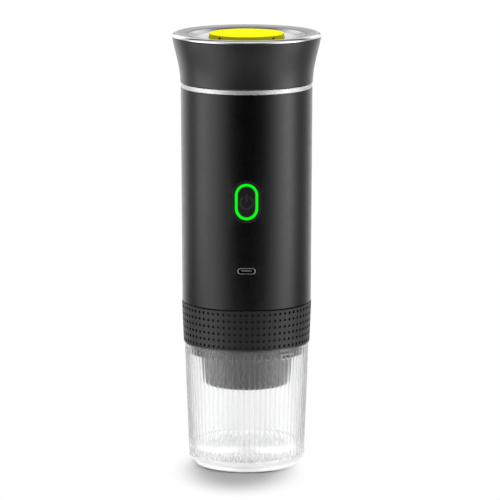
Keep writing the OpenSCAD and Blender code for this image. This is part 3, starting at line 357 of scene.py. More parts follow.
def clear_plastic():
    """Clear moulded plastic, matt along the ridges, in a row of dashes below them and at the foot."""
    finish, tree, shader, place = new_finish("clear_plastic")
    shader.inputs["IOR"].default_value = 1.4
    flow = noise(tree, place, 6, stretch=(1, 1, 5))
    tint(tree, flow, (0.965, 0.97, 0.975), (0.99, 0.99, 0.99))
    split = add_node(tree, "ShaderNodeSeparateXYZ", {"Vector": place})
    height = split.outputs["Z"]
    turn = calculate(tree, "ARCTAN2", split.outputs["Y"], split.outputs["X"])
    flute = times(tree, turn, flute_count / (2 * math.pi))
    across = calculate(tree, "PINGPONG", calculate(tree, "ADD", flute, flute_count), 0.5)
    ridge = between(tree, across, *ridge_edges, ridge_cloud, 0)
    rib = between(tree, across, *dash_edges, dash_cloud, 0)
    above = between(tree, height, mm * dash_top, mm * (dash_top + dash_blur))
    below = between(tree, height, mm * (dash_low - dash_blur), mm * dash_low)
    dash = times(tree, calculate(tree, "SUBTRACT", below, above), rib)
    plain = between(tree, height, mm * (flute_top_z - rim_blur), mm * flute_top_z)
    line = times(tree, ridge, calculate(tree, "SUBTRACT", above, plain))
    rim_band = times(tree, plain, rim_cloud)
    skin = calculate(tree, "MAXIMUM", calculate(tree, "MAXIMUM", line, dash), rim_band)
    foot = times(tree, calculate(tree, "SUBTRACT", 1, below), foot_cloud)
    flat = add_node(tree, "ShaderNodeVectorMath", {0: place, 1: (1, 1, 0)})
    flat.operation = "MULTIPLY"
    radius = distance(tree, flat.outputs["Vector"])
    taper = (cup_rim_r - cup_heel_r) / (cup_top - cup_heel_z)
    upright_r = calculate(tree, "SUBTRACT", radius, times(tree, height, taper))
    mid_wall_r = mm * (cup_heel_r - taper * cup_heel_z - cup_wall / 2)
    outside = calculate(tree, "GREATER_THAN", upright_r, mid_wall_r)
    cloud = calculate(tree, "MAXIMUM", times(tree, skin, outside), foot)
    milk = times(tree, times(tree, line, outside), ridge_milk)
    clear = calculate(tree, "SUBTRACT", clear_share, milk)
    tree.links.new(clear, shader.inputs["Transmission Weight"])
    matt = between(tree, height, mm * dash_low, mm * matt_top, matt_low, matt_high)
    tree.links.new(calculate(tree, "ADD", matt, cloud), shader.inputs["Roughness"])
    return finish


def frosted_plastic():
    """The same plastic where the mould is blasted matt: pale and cloudy."""
    finish, tree, _, place = new_finish("frosted_plastic")
    cloud = noise(tree, place, 0.5, detail=3)
    tint(tree, cloud, (0.9, 0.9, 0.91), (0.97, 0.97, 0.97))
    vary(tree, cloud, 0.4, 0.55)
    return finish


def cup_outside_r(z):
    """The radius of the cup's outside at a height, without its flutes."""
    return cup_heel_r + (cup_rim_r - cup_heel_r) * (z - cup_heel_z) / (cup_top - cup_heel_z)


def in_flute(p, columns):
    """Whether a point of the outside lies that many columns from the middle of a flute."""
    across = round(math.atan2(p.y, p.x) / column) % flute_columns - flute_columns // 2
    outside = math.hypot(p.x, p.y) > cup_outside_r(p.z) - cup_wall / 2
    fluted = flute_low_z - flute_slack < p.z < flute_top_z + flute_slack
    return abs(across) == columns and outside and fluted


heel = [
    (cup_foot_r + (cup_heel_r - cup_foot_r) * math.sin(t),
     cup_heel_z - (cup_heel_z - heel_low_z) * math.cos(t), 0)
    for t in evenly(0, math.pi / 2, heel_steps)
]
wall_z = sorted([
    flute_low_z - flute_end, flute_low_z + flute_end, *evenly(flute_low_z, flute_top_z, wall_rows),
    flute_top_z - flute_end, flute_top_z + flute_end,
])
cup = turned("cup_clear", rounded([
    (0, foot_recess, 0), (foot_recess_r, foot_recess, 1.2),
    (cup_foot_in_r, 0, 0.4), (cup_foot_r, 0, 0.95),
    *heel[:-1],
    *[(cup_outside_r(z), z, 0) for z in wall_z],
    (cup_rim_r, cup_top, 0.5), (cup_rim_r - cup_wall, cup_top, 0.4),
    (cup_outside_r(cup_floor_z) - cup_wall, cup_floor_z, 0.8), (0, cup_floor_z, 0),
]), sides=flute_count * flute_columns)
for columns in range(flute_columns // 2):
    hollow = flute_depth * (1 - (2 * columns / flute_columns) ** 2)
    pick(cup, lambda p: in_flute(p, columns))
    inwards = 1 - 2 * hollow / (cup_rim_r + cup_heel_r)
    bpy.ops.transform.resize(value=(inwards, inwards, 1), center_override=(0, 0, 0))
close_up(cup, crease=50)
for i in range(2):
    pad = pull(obround("pad", pad_h, pad_w, upright=False), cup_wall / 2)
    soften(pad, pad_round)
    move(pad, y=-cup_rim_r - pad_proud, z=pad_z, turn=pad_angle + i * math.pi)
    combine(cup, pad, "UNION")
coat(cup, clear_plastic())
matt_edge = frosted_plastic()
for i in range(2):
    pad_edge = band("pad_edge_%d" % (i + 1), pad_h, pad_w, pad_edge_w, cup_wall / 2, upright=False)
    soften(pad_edge, pad_edge_round)
    move(pad_edge, y=-cup_rim_r - pad_proud - pad_edge_proud, z=pad_z, turn=pad_angle + i * math.pi)
    coat(pad_edge, matt_edge)
    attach(pad_edge, "cup")
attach(cup, "cup")
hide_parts("cup")

# Brew head
# Moulded collar that plugs into the cup, with the coffee bucket and its spout below and the
# threaded ring above. Dark filled plastic; the thread is four coarse ridges inside the ring.
thread_lead = 20
thread_starts = 4
thread_height = 0.7
thread_sink = 0.1
ridge_w = 1.6
ridge_flank = 0.28
ring_bore_r = 27.2
ring_thread_low = 64.4
ring_thread_top = 79.9


def moulded_plastic(name, dark, light, roughness, grain=0.35, height=0.012, gloss=0.5):
    """Moulded plastic: slow colour drift, and a fine grain in its gloss and its surface."""
    finish, tree, shader, place = new_finish(name)
    fine = noise(tree, place, grain, detail=3)
    tint(tree, noise(tree, place, 9, detail=3), dark, light)
    vary(tree, fine, roughness - 0.05, roughness + 0.06)
    relief(tree, fine, height)
    shader.inputs["Specular IOR Level"].default_value = gloss
    return finish


def dress(finish, *names):
    """Give solids of the frame their finish."""
    for name in names:
        nodes[name].material_slots[0].material = finish


def wind(piece, rise, steps, sides, angle=2 * math.pi, rounds=1):
    """Wind a drawn section up round the axis, by a rise in each round, and close its two ends."""
    weld()
    bpy.ops.object.mode_set(mode="OBJECT")
    climb = piece.modifiers.new("climb", "SCREW")
    climb.angle = angle
    climb.iterations = rounds
    climb.screw_offset = mm * rise
    climb.steps = climb.render_steps = steps
    bpy.ops.object.modifier_apply(modifier=climb.name)
    bpy.ops.object.mode_set(mode="EDIT")
    bpy.ops.mesh.select_all(action="SELECT")
    bpy.ops.mesh.fill_holes(sides=sides)


def thread(name, root_r, out, low, high):
    """A four-start thread on a face of radius root_r, standing outwards or, with out=-1, inwards."""
    sunk_r = root_r - thread_sink * out
    crest_r = root_r + thread_height * out
    rise = high - low - ridge_w
    ridge = drawn(name, [
        (sunk_r, low), (crest_r, low + ridge_flank * ridge_w),
        (crest_r, low + (1 - ridge_flank) * ridge_w), (sunk_r, low + ridge_w), (sunk_r, low),
    ])
    wind(ridge, rise, steps=64, sides=8, angle=2 * math.pi * rise / thread_lead)
    for start in range(1, thread_starts):
        bpy.ops.mesh.duplicate()
        bpy.ops.transform.rotate(
            value=2 * math.pi / thread_starts, orient_axis="Z", center_override=(0, 0, 0))
    return close_up(ridge)


black_plastic_and_notch_shade = moulded_plastic("moulded_black", (0.028, 0.028, 0.03), (0.036, 0.036, 0.038), 0.42)
brew_plastic = moulded_plastic("brew_grey", (0.045, 0.045, 0.046), (0.055, 0.055, 0.056), 0.3)
dress(brew_plastic, "brew_head")
ring_thread = thread("brew_head_thread", ring_bore_r, -1, ring_thread_low, ring_thread_top)
coat(ring_thread, brew_plastic)
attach(ring_thread, "brew_head")

# Grip sleeve
# Soft sleeve stretched over the threaded ring, with six rows of seventy dots pressed into it.
# Matt black rubber that catches the light softly and holds a little dust in its grain.


def soft_rubber():
    """Matt rubber with a fine skin and a slight bloom."""
    finish, tree, shader, place = new_finish("grip_black")
    skin = noise(tree, place, 0.5, detail=4)
    tint(tree, noise(tree, place, 4, detail=4), (0.008, 0.008, 0.0083), (0.0115, 0.0115, 0.0118))
    vary(tree, skin, 0.4, 0.5)
    shader.inputs["Specular IOR Level"].default_value = 0.44
    relief(tree, skin, 0.015)
    shader.inputs["Sheen Weight"].default_value = 0.015
    shader.inputs["Sheen Roughness"].default_value = 0.4
    return finish


dress(soft_rubber(), "grip_sleeve")

# Basket, filter disc and group seal
# Pressed stainless cup for the coffee with a perforated disc on its ledge, and a red silicone ring
# that the neck presses onto the cup's flange. The steel keeps the lines of drawing and polishing.
wave_bands = 20


def turned_metal(name, dark, light, roughness, line=0.25):
    """Metal with fine lines that run round the axis, as turning and polishing leave them."""
    finish, tree, shader, place = new_finish(name)
    shader.inputs["Metallic"].default_value = 1
    fine = {"Scale": 1 / (mm * wave_bands * line), "Distortion": 3, "Detail": 3}
    rings = add_node(tree, "ShaderNodeTexWave", {"Vector": place, **fine})
    rings.wave_type = "RINGS"
    rings.rings_direction = "Z"
    cloud = noise(tree, place, 7, detail=3)
    tint(tree, cloud, dark, light)
    vary(tree, rings.outputs["Fac"], roughness - 0.03, roughness + 0.04)
    relief(tree, rings.outputs["Fac"], 0.004, 0.15)
    return finish


def silicone(name, colour, milky, roughness):
    """Silicone rubber: soft gloss, a little light under its skin."""
    finish, tree, shader, place = new_finish(name)
    cloud = noise(tree, place, 5, detail=3)
    tint(tree, cloud, [0.88 * c for c in colour], colour)
    vary(tree, noise(tree, place, 0.6), roughness - 0.06, roughness + 0.06)
    relief(tree, noise(tree, place, 0.8), 0.01, 0.3)
    shader.inputs["Subsurface Weight"].default_value = milky
    shader.inputs["Subsurface Radius"].default_value = (0.003, 0.002, 0.0015)
    return finish


pressed_steel = turned_metal("pressed_steel", (0.56, 0.56, 0.57), (0.64, 0.64, 0.65), 0.24)
red_silicone = silicone("red_silicone", (0.42, 0.045, 0.035), 0.2, 0.45)
dress(pressed_steel, "filter_basket", "filter_disc")
dress(red_silicone, "group_gasket")

# Group head
# Hollow neck of the housing, in dark plastic, with the male thread outside and the pressed
# shower screen below. The screen hangs on one pan-head screw with a cross recess.
screw_head_r = 2.2
screw_head_h = 1.3
screw_r = 1.25
recess_w = 0.7
recess_l = 2.6
recess_depth = 0.8
neck_thread_r = 26.2
neck_thread_low = 65.5
neck_thread_top = 78.2


def screw_metal():
    """Plated steel with the fine scratches of driving."""
    finish, tree, shader, place = new_finish("screw_steel")
    shader.inputs["Metallic"].default_value = 1
    scratch = noise(tree, place, 0.3, detail=4, stretch=(1, 6, 1))
    tint(tree, noise(tree, place, 2), (0.5, 0.5, 0.51), (0.62, 0.62, 0.63))
    vary(tree, scratch, 0.22, 0.36)
    relief(tree, scratch, 0.004, 0.3)
    return finish


def block(name, size, place=(0, 0, 0)):
    """A box of a size in millimetres with its middle at a place."""
    bpy.ops.mesh.primitive_cube_add(size=mm, location=[mm * c for c in place])
    piece = bpy.context.object
    piece.name = name
    piece.scale = size
    bpy.ops.object.transform_apply(location=True, rotation=True, scale=True)
    return piece


def pan_screw(name, head_z, tip_z):
    """A screw that is driven from below: its head's face lies at head_z and its tip at tip_z."""
    piece = turned(name, rounded([
        (0, head_z, 0), (screw_head_r, head_z, 0.55), (screw_head_r, head_z + screw_head_h, 0.1),
        (screw_r, head_z + screw_head_h, 0), (screw_r, tip_z, 0.3), (0, tip_z, 0),
    ]), sides=40)
    for size in ((recess_l, recess_w), (recess_w, recess_l)):
        combine(piece, block("recess", (*size, 2 * recess_depth), (0, 0, head_z)), "DIFFERENCE")
    return piece


dress(black_plastic_and_notch_shade, "group_head")
dress(pressed_steel, "shower_screen")
neck_thread = thread("neck_thread", neck_thread_r, 1, neck_thread_low, neck_thread_top)
coat(neck_thread, black_plastic_and_notch_shade)
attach(neck_thread, "housing")
screw_steel = screw_metal()
screen_low, screen_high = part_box("shower_screw")
screen_screw = pan_screw("screen_screw", screen_low.z / mm, screen_high.z / mm)
coat(screen_screw, screw_steel)
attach(screen_screw, "housing")
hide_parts("shower_screw")

# Shell
# Tapered body tube with openings for the button and the charging port, in satin black lacquer
# with a barely visible orange peel, and the polished ring that caps it under the lid.
trim_lap = 1.55
trim_edge = 0.25
trim_groove = 0.16


def satin_lacquer(name, dark, light, roughness, peel=0.9, height=0.002):
    """Sprayed lacquer: soft gloss over a very shallow orange peel, with fine dust in it."""
    finish, tree, _, place = new_finish(name)
    dust = noise(tree, place, 0.2, detail=4)
    tint(tree, dust, dark, light, (0.45, 0.8))
    cloud = noise(tree, place, 5, detail=3)
    vary(tree, cloud, roughness - 0.02, roughness + 0.03)
    relief(tree, noise(tree, place, peel, detail=1), height, 0.4)
    return finish


body_lacquer = satin_lacquer("body_black", (0.0022, 0.0022, 0.0023), (0.004, 0.004, 0.0042), 0.27)
dress(body_lacquer, "outer_shell")
trim_low, trim_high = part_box("trim_ring")
trim_r = trim_high.x / mm
trim_in_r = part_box("neck_collar")[1].x / mm - trim_lap
trim_z = trim_low.z / mm
trim_top = trim_high.z / mm
trim_h = trim_top - trim_z
trim = turned("trim_ring_polished", rounded([
    (trim_in_r, trim_z, 0), (trim_r - 0.1, trim_z, 0.12), (trim_r, trim_z + 0.25 * trim_h, 0.3),
    (trim_r, trim_z + 0.46 * trim_h, 0.05), (trim_r - trim_groove, trim_z + 0.5 * trim_h, 0.05),
    (trim_r, trim_z + 0.54 * trim_h, 0.05), (trim_r, trim_z + 0.75 * trim_h, 0.3),
    (trim_r - trim_edge, trim_top, 0.15), (trim_in_r, trim_top, 0), (trim_in_r, trim_z, 0),
]))
polished_metal = turned_metal("polished_ring", (0.74, 0.74, 0.75), (0.8, 0.8, 0.81), 0.5, line=0.12)
coat(trim, polished_metal)
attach(trim, "housing")
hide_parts("trim_ring")

# Neck and tank
# Threaded neck that takes the lid, and the deep-drawn steel water tank that hangs in it by its lip,
# wrapped in foam, with the heater plate, its pad and the safety switch underneath.
bubble_d = 0.8
collar_thread_set = 1.3
collar_thread_stop = 1.1


def closed_foam():
    """Closed-cell foam: pale, dry and full of small bubbles."""
    finish, tree, _, place = new_finish("wrap_foam")
    cells = add_node(tree, "ShaderNodeTexVoronoi", {"Vector": place, "Scale": 1 / (mm * bubble_d)})
    bubbles = cells.outputs["Distance"]
    tint(tree, bubbles, (0.62, 0.58, 0.47), (0.74, 0.7, 0.6), (0.1, 0.6))
    vary(tree, bubbles, 0.85, 0.95)
    relief(tree, bubbles, 0.15)
    return finish


neck_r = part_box("water_tank")[1].x / mm
neck_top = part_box("neck_collar")[1].z / mm
dress(black_plastic_and_notch_shade, "neck_collar")
dress(pressed_steel, "water_tank")
dress(closed_foam(), "tank_foam")
heater_metal = turned_metal("heater_metal", (0.5, 0.51, 0.52), (0.6, 0.6, 0.61), 0.38, line=0.5)
heater_pad = moulded_plastic("heater_pad", (0.2, 0.09, 0.06), (0.27, 0.13, 0.09), 0.75, 0.6, 0.03)
cutout_brown = moulded_plastic("cutout_brown", (0.045, 0.022, 0.012), (0.06, 0.03, 0.018), 0.4)
dress(heater_metal, "heater_plate")
dress(heater_pad, "heater_pad")
dress(cutout_brown, "thermal_cutout")
lid_thread_male = thread(
    "collar_thread", neck_r, 1, trim_top + collar_thread_set, neck_top - collar_thread_stop)
coat(lid_thread_male, black_plastic_and_notch_shade)
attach(lid_thread_male, "housing")

# Battery frame
# Moulded frame and clamp around three round cells, drawn together by four long screws.
# Grey filled nylon, cells in blue shrink wrap, and nickel strips welded across their ends.


def shrink_wrap():
    """Glossy film drawn tight over a can, with faint wrinkles along it."""
    finish, tree, _, place = new_finish("cell_wrap")
    wrinkle = noise(tree, place, 2.5, detail=3, stretch=(1, 1, 8))
    tint(tree, wrinkle, (0.025, 0.085, 0.26), (0.035, 0.11, 0.32))
    vary(tree, wrinkle, 0.16, 0.26)
    relief(tree, wrinkle, 0.03, 0.3)
    return finish


def rolled_metal(name, dark, light, roughness, along):
    """Sheet metal with the fine lines of its rolling."""
    finish, tree, shader, place = new_finish(name)
    shader.inputs["Metallic"].default_value = 1
    lines = noise(tree, place, 0.25, detail=3, stretch=along)
    tint(tree, lines, dark, light)
    vary(tree, lines, roughness - 0.05, roughness + 0.07)
    relief(tree, lines, 0.005, 0.3)
    return finish


frame_plastic = moulded_plastic("frame_grey", (0.042, 0.042, 0.047), (0.055, 0.055, 0.06), 0.5)
dress(frame_plastic, "inner_frame", "cell_clamp")
dress(screw_steel, "tie_screws")
dress(shrink_wrap(), "battery_cells")
nickel = rolled_metal("nickel_strip", (0.5, 0.49, 0.46), (0.6, 0.59, 0.56), 0.3, (12, 1, 1))
dress(nickel, "cell_straps")

# Control board
# Upright board behind the front wall: solder mask over copper tracks, with the charging
# receptacle, the push switch and the four lights of the ring soldered to its front face.
track_step = 5


def solder_mask():
    """Green solder mask with the tracks showing through as paler lines."""
    finish, tree, _, place = new_finish("board_green")
    upright = {"Vector": place, "Rotation": (math.pi / 2, 0, 0)}
    turn = add_node(tree, "ShaderNodeMapping", upright)
    bricks = add_node(tree, "ShaderNodeTexBrick", {
        "Vector": turn.outputs["Vector"], "Scale": 1 / (mm * track_step), "Mortar Size": 0.03,
        "Color1": (0, 0, 0, 1), "Color2": (0, 0, 0, 1), "Mortar": (1, 1, 1, 1),
    })
    tracks = bricks.outputs["Color"]
    tint(tree, tracks, (0.006, 0.075, 0.03), (0.02, 0.16, 0.07))
    vary(tree, noise(tree, place, 1.5), 0.26, 0.36)
    relief(tree, tracks, 0.03, 0.4)
    return finish


switch_black = moulded_plastic("switch_black", (0.012, 0.012, 0.012), (0.018, 0.018, 0.018), 0.5)
dress(solder_mask(), "control_board")
dress(switch_black, "tact_switch")
dress(moulded_plastic("led_white", (0.75, 0.78, 0.68), (0.85, 0.88, 0.78), 0.3), "status_leds")

# Charging port
# Seamless steel mouth with a rolled lip, just behind the shell's face, around a moulded tongue
# that carries a row of gold contacts on each side. Inside its lip the steel sleeve is coloured
# near-black as painted shade.
port_low, port_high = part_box("usb_c_receptacle")
port_z = (port_low.z + port_high.z) / 2 / mm
port_face = -port_low.y / mm
port_back = -port_high.y / mm
port_w = (port_high.x - port_low.x) / mm
port_h = (port_high.z - port_low.z) / mm
port_sheet = 0.42
port_round = 0.14
mouth_depth = 6.2
tongue_w = 5.2
tongue_l = 5.2
tongue_t = 0.7
tongue_set = 1.2
contact_count = 12
contact_w = 0.2
contact_step = 0.4
contact_l = 4.2
contact_proud = 0.06
contact_set = 1.5


def in_mouth(p):
    """Whether a point of the port, before it is put in place, lies inside its lip."""
    return math.hypot(max(abs(p.x) - (port_w - port_h) / 2, 0), p.z) < (port_h - port_sheet) / 2


def paint(piece, index, test):
    """Give the faces between vertices that pass a test the finish at an index."""
    pick(piece, test)
    piece.active_material_index = index
    bpy.ops.object.material_slot_assign()
    bpy.ops.object.mode_set(mode="OBJECT")


port_metal = rolled_metal("port_metal", (0.6, 0.6, 0.61), (0.7, 0.7, 0.71), 0.26, (12, 1, 1))
port = pull(obround("port_mouth", port_h, port_w, upright=False), port_face - port_back)
mouth_w = port_w - 2 * port_sheet
mouth = pull(obround("mouth", port_h - 2 * port_sheet, mouth_w, upright=False), mouth_depth)
move(mouth, y=-cut_over)
combine(port, mouth, "DIFFERENCE")
# Near-black finish on the sleeve's inner wall: painted shade inside the mouth.
painted_port_shade = moulded_plastic(
    "painted_port_shade", (0.004, 0.004, 0.004), (0.006, 0.006, 0.006), 0.6, gloss=0.2)
coat(port, port_metal, painted_port_shade)
paint(port, 1, in_mouth)
soften(port, port_round)
move(port, y=-port_face, z=port_z)
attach(port, "housing")
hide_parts("usb_c_receptacle")
tongue = block("port_tongue", (tongue_w, tongue_l, tongue_t))
soften(tongue, 0.15)
move(tongue, y=-port_face + tongue_set + tongue_l / 2, z=port_z)
coat(tongue, moulded_plastic("tongue_grey", (0.42, 0.42, 0.43), (0.5, 0.5, 0.51), 0.4))
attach(tongue, "housing")
first_x = -contact_step * (contact_count - 1) / 2
contacts = block("port_contacts", (contact_w, contact_l, tongue_t + contact_proud), (first_x, 0, 0))
row = contacts.modifiers.new("row", "ARRAY")
row.count = contact_count
row.use_relative_offset = False
row.use_constant_offset = True
row.constant_offset_displace = (mm * contact_step, 0, 0)
bpy.ops.object.modifier_apply(modifier=row.name)
soften(contacts, 0.03, segments=1)
move(contacts, y=-port_face + contact_set + contact_l / 2, z=port_z)
coat(contacts, rolled_metal("contact_gold", (0.75, 0.52, 0.18), (0.85, 0.6, 0.24), 0.25, (1, 12, 1)))
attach(contacts, "housing")

# Button
# Moulded frame held behind the shell, a light guide that glows green, and a satin cap that follows
# the body's curve. The power mark is a paler ring and bar printed on the cap.
button_low, button_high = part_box("power_button")
button_z = (button_low.z + button_high.z) / 2 / mm
button_w = (button_high.x - button_low.x) / mm
button_l = (button_high.z - button_low.z) / mm
button_r = -button_low.y / mm
button_depth = (button_high.y - button_low.y) / mm
mark_r = 3.1
mark_w = 0.8
mark_gap = math.radians(33)
mark_drop = 0.3
mark_proud = 0.03
mark_t = 0.2
bar_low = 0.6
bar_top = 4.2
light_low, light_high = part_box("light_ring")
light_w = (light_high.x - light_low.x) / mm
light_l = (light_high.z - light_low.z) / mm
light_r = -light_low.y / mm
guide_w = 1.2
guide_depth = 1.2
guide_drop = 0.04
lip_w = 0.4
lip_gap = 0.03
lip_drop = 0.3
bend_strips = 16


def follow_body(piece, radius, z):
    """Bend a flat piece, whose front lies at the origin, round the body at a radius and height."""
    take(piece)
    bpy.ops.object.mode_set(mode="EDIT")
    half = max(abs(vertex.co.x) for vertex in piece.data.vertices)
    for i in range(1, bend_strips):
        bpy.ops.mesh.select_all(action="SELECT")
        bpy.ops.mesh.bisect(plane_co=(half * (2 * i / bend_strips - 1), 0, 0), plane_no=(1, 0, 0))
    close_up(piece)
    curve = piece.modifiers.new("curve", "SIMPLE_DEFORM")
    curve.deform_method = "BEND"
    curve.deform_axis = "Z"
    curve.angle = 2 * half / (mm * radius)
    bpy.ops.object.modifier_apply(modifier=curve.name)
    return move(piece, y=-radius, z=z)


def light_guide():
    """Green guide lit from behind, with a faint unevenness in its glow."""
    finish, tree, shader, place = new_finish("light_green")
    glow = noise(tree, place, 6)
    tint(tree, glow, (0, 0.96, 0.004), (0, 1, 0.006), socket="Emission Color")
    shader.inputs["Emission Strength"].default_value = 1
    shader.inputs["Base Color"].default_value = (0, 0.02, 0, 1)
    shader.inputs["Specular IOR Level"].default_value = 0.1
    vary(tree, glow, 0.5, 0.6)
    return finish


bezel_black = moulded_plastic("bezel_black", (0.018, 0.018, 0.0183), (0.022, 0.022, 0.0224), 0.34)
dress(bezel_black, "button_bezel")
lip = band("bezel_lip", light_w, light_l, lip_w - lip_gap, guide_depth)
follow_body(lip, light_r - lip_drop, button_z)
coat(lip, body_lacquer)
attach(lip, "housing")
guide = band("light_guide", light_w - 2 * lip_w, light_l - 2 * lip_w, guide_w, guide_depth)
soften(guide, 0.12)
follow_body(guide, light_r - guide_drop, button_z)
coat(guide, light_guide())
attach(guide, "housing")
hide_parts("light_ring")
dress(moulded_plastic("white_plastic", (0.62, 0.62, 0.58), (0.7, 0.7, 0.66), 0.4), "switch_plunger")
cap = pull(obround("button_cap", button_w, button_l), button_depth)
soften(cap, 0.35, segments=4)
follow_body(cap, button_r, button_z)
coat(cap, satin_lacquer("cap_black", (0.0095, 0.0095, 0.0097), (0.0115, 0.0115, 0.0117), 0.42))
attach(cap, "button")
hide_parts("power_button")
mark = drawn("power_mark", [(mark_r - mark_w / 2, 0), (mark_r + mark_w / 2, 0)])
bpy.ops.mesh.select_all(action="SELECT")
bpy.ops.transform.rotate(value=math.pi / 2 + mark_gap, orient_axis="Y", center_override=(0, 0, 0))
bpy.ops.mesh.spin(steps=64, angle=2 * (math.pi - mark_gap), center=(0, 0, 0), axis=(0, 1, 0))
weld()
bpy.ops.mesh.primitive_plane_add(size=mm, rotation=(math.pi / 2, 0, 0))
bpy.ops.transform.resize(value=(mark_w, 1, bar_top - bar_low), center_override=(0, 0, 0))
bpy.ops.transform.translate(value=(0, 0, mm * (bar_top + bar_low) / 2))
pull(mark, mark_t)
soften(mark, 0.02, segments=1)
follow_body(mark, button_r + mark_proud, button_z - mark_drop)
coat(mark, moulded_plastic("mark_grey", (0.032, 0.032, 0.032), (0.038, 0.038, 0.038), 0.5))
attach(mark, "button")

# Pump
# Small plunger pump between the cells and the board: a brass valve head, a steel can round the
# winding, and a hollow plunger that a coil drives against two springs. Silicone hoses join it.
enamel_d = 0.3
wire_d = 0.8
wire_sides = 10
coil_turns = 5


def wound_copper():
    """Enamelled wire laid turn on turn."""
    finish, tree, shader, place = new_finish("copper_winding")
    shader.inputs["Metallic"].default_value = 1
    close = {"Vector": place, "Scale": 1 / (mm * wave_bands * enamel_d)}
    waves = add_node(tree, "ShaderNodeTexWave", close)
    waves.bands_direction = "Z"
    wires = waves.outputs["Fac"]
    tint(tree, wires, (0.32, 0.09, 0.03), (0.65, 0.24, 0.09), (0.1, 0.8))
    vary(tree, wires, 0.4, 0.24)
    relief(tree, wires, 0.08)
    return finish


def coil(name, node):
    """A round-wire spring in a node's place, from the bottom to the top of the node's box."""
    low, high = [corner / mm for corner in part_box(node)]
    middle = (low + high) / 2
    wire_r = wire_d / 2
    coil_r = (high.x - low.x - wire_d) / 2
    piece = drawn(name, [
        (coil_r + wire_r * math.cos(t), low.z + wire_r + wire_r * math.sin(t))
        for t in evenly(0, 2 * math.pi, wire_sides)
    ])
    rise = (high.z - low.z - wire_d) / coil_turns
    wind(piece, rise, steps=40, sides=wire_sides, rounds=coil_turns)
    close_up(piece)
    move(piece, x=middle.x, y=middle.y)
    coat(piece, spring_steel)
    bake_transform(piece)
    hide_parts(node)


brass = turned_metal("pump_brass", (0.52, 0.36, 0.13), (0.62, 0.45, 0.18), 0.3, line=0.2)
clear_silicone = silicone("clear_silicone", (0.78, 0.77, 0.73), 0.4, 0.35)
spring_steel = rolled_metal("spring_steel", (0.45, 0.45, 0.46), (0.55, 0.55, 0.56), 0.28, (1, 1, 1))
dress(brass, "pump_head", "plunger_guide")
dress(red_silicone, "check_valve")
dress(turned_metal("can_steel", (0.42, 0.43, 0.44), (0.52, 0.52, 0.53), 0.36), "pump_can")
dress(moulded_plastic("spool_nylon", (0.7, 0.67, 0.55), (0.78, 0.75, 0.64), 0.45), "coil_bobbin")
dress(wound_copper(), "pump_coil")
dress(turned_metal("plunger_steel", (0.46, 0.47, 0.48), (0.54, 0.54, 0.55), 0.22), "pump_plunger")
dress(black_plastic_and_notch_shade, "pump_inlet")
dress(clear_silicone, "inlet_hose", "outlet_hose", "lid_seal")
coil("return_coil", "return_spring")
coil("buffer_coil", "buffer_spring")

# Lid
# Flared skin over a threaded inner cap, in the softer black of a textured moulding, closed by a
# metal top: a polished rounded rim, a satin ring and a shallow dish round the vent button.
lid_low, lid_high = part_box("lid_shell")
lid_z = lid_low.z / mm
lid_edge_z = lid_high.z / mm
lid_top_r = lid_high.x / mm
lid_flare = 4.1
lid_low_r = lid_top_r - lid_flare
lid_wall = 1.6
lid_steps = 24
lid_gap = 0.05
lid_low_step = 0.6
liner_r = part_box("lid_liner")[1].x / mm
shelf_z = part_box("vent_spring")[0].z / mm
shelf_t = 2.5
shelf_in_r = 21.25
plate_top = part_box("lid_top_plate")[1].z / mm
rim_w = 2.1
rim_h = 1.6
rim_z = plate_top - rim_h
flat_w = 6
flat_in_r = lid_top_r - rim_w - flat_w
flat_drop = 0.75
dish_depth = 2.4
vent_low, vent_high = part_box("vent_button")
vent_r = 18.36
dish_floor_w = 3
dish_floor_r = vent_r + dish_floor_w
well_gap = 0.3
well_r = vent_r + well_gap
plate_t = 1.0
touch = 0.01
skirt_h = 2.5
skirt_z = lid_edge_z - skirt_h
shadow_w = 0.4
rim_steps = 12


def lid_r(z):
    """The radius of the flare at a height."""
    u = (z - lid_z) / (lid_edge_z - lid_z)
    return lid_low_r + lid_flare * u * u * (2 - u)


def lid_curve(low, high, inset):
    """Points up the flare, moved in by an inset."""
    return [(lid_r(z) - inset, z, 0) for z in evenly(low, high, lid_steps)]


skin = turned("lid_skin", rounded([
    (liner_r + lid_gap, lid_z, 0), (lid_low_r, lid_z, 0.35),
    *lid_curve(lid_z + lid_low_step, lid_edge_z - lid_low_step, 0),
    (lid_top_r, rim_z - 0.5, 0.1), (lid_top_r - shadow_w, rim_z - 0.3, 0.1),
    (lid_top_r - shadow_w, rim_z, 0), (lid_top_r - lid_wall, rim_z, 0),
    *lid_curve(shelf_z + shelf_t, lid_edge_z - 0.5, lid_wall)[::-1],
    (shelf_in_r, shelf_z + shelf_t, 0), (shelf_in_r, shelf_z, 0), (liner_r + lid_gap, shelf_z, 0),
    (liner_r + lid_gap, lid_z, 0),
]))
lid_black = satin_lacquer(
    "lid_black", (0.03, 0.03, 0.0302), (0.037, 0.037, 0.0372), 0.3, peel=0.5, height=0.006)
coat(skin, lid_black)
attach(skin, "lid")
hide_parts("lid_shell")
rim = [
    (lid_top_r - rim_w + rim_w * math.cos(t), rim_z + rim_h * math.sin(t), 0)
    for t in evenly(0, math.pi / 2, rim_steps)
]
dish = [
    (flat_in_r + (dish_floor_r - flat_in_r) * t,
     plate_top - flat_drop - (dish_depth - flat_drop) * math.sin(math.pi / 2 * t), 0)
    for t in evenly(0, 1, rim_steps)
]
skirt_r = lid_r(skirt_z) - lid_wall - lid_gap
top_plate = turned("lid_top", rounded([
    (skirt_r, rim_z, 0), (lid_top_r - 0.3, rim_z, 0), *rim, *dish,
    (well_r, plate_top - dish_depth, 0.2), (well_r, plate_top - dish_depth - plate_t, 0),
    *[(r, z - plate_t, 0) for r, z, _ in dish[::-1]],
    (skirt_r - plate_t, plate_top - plate_t, 0), (skirt_r - plate_t, skirt_z, 0),
    (skirt_r, skirt_z, 0), (skirt_r, rim_z, 0),
]))
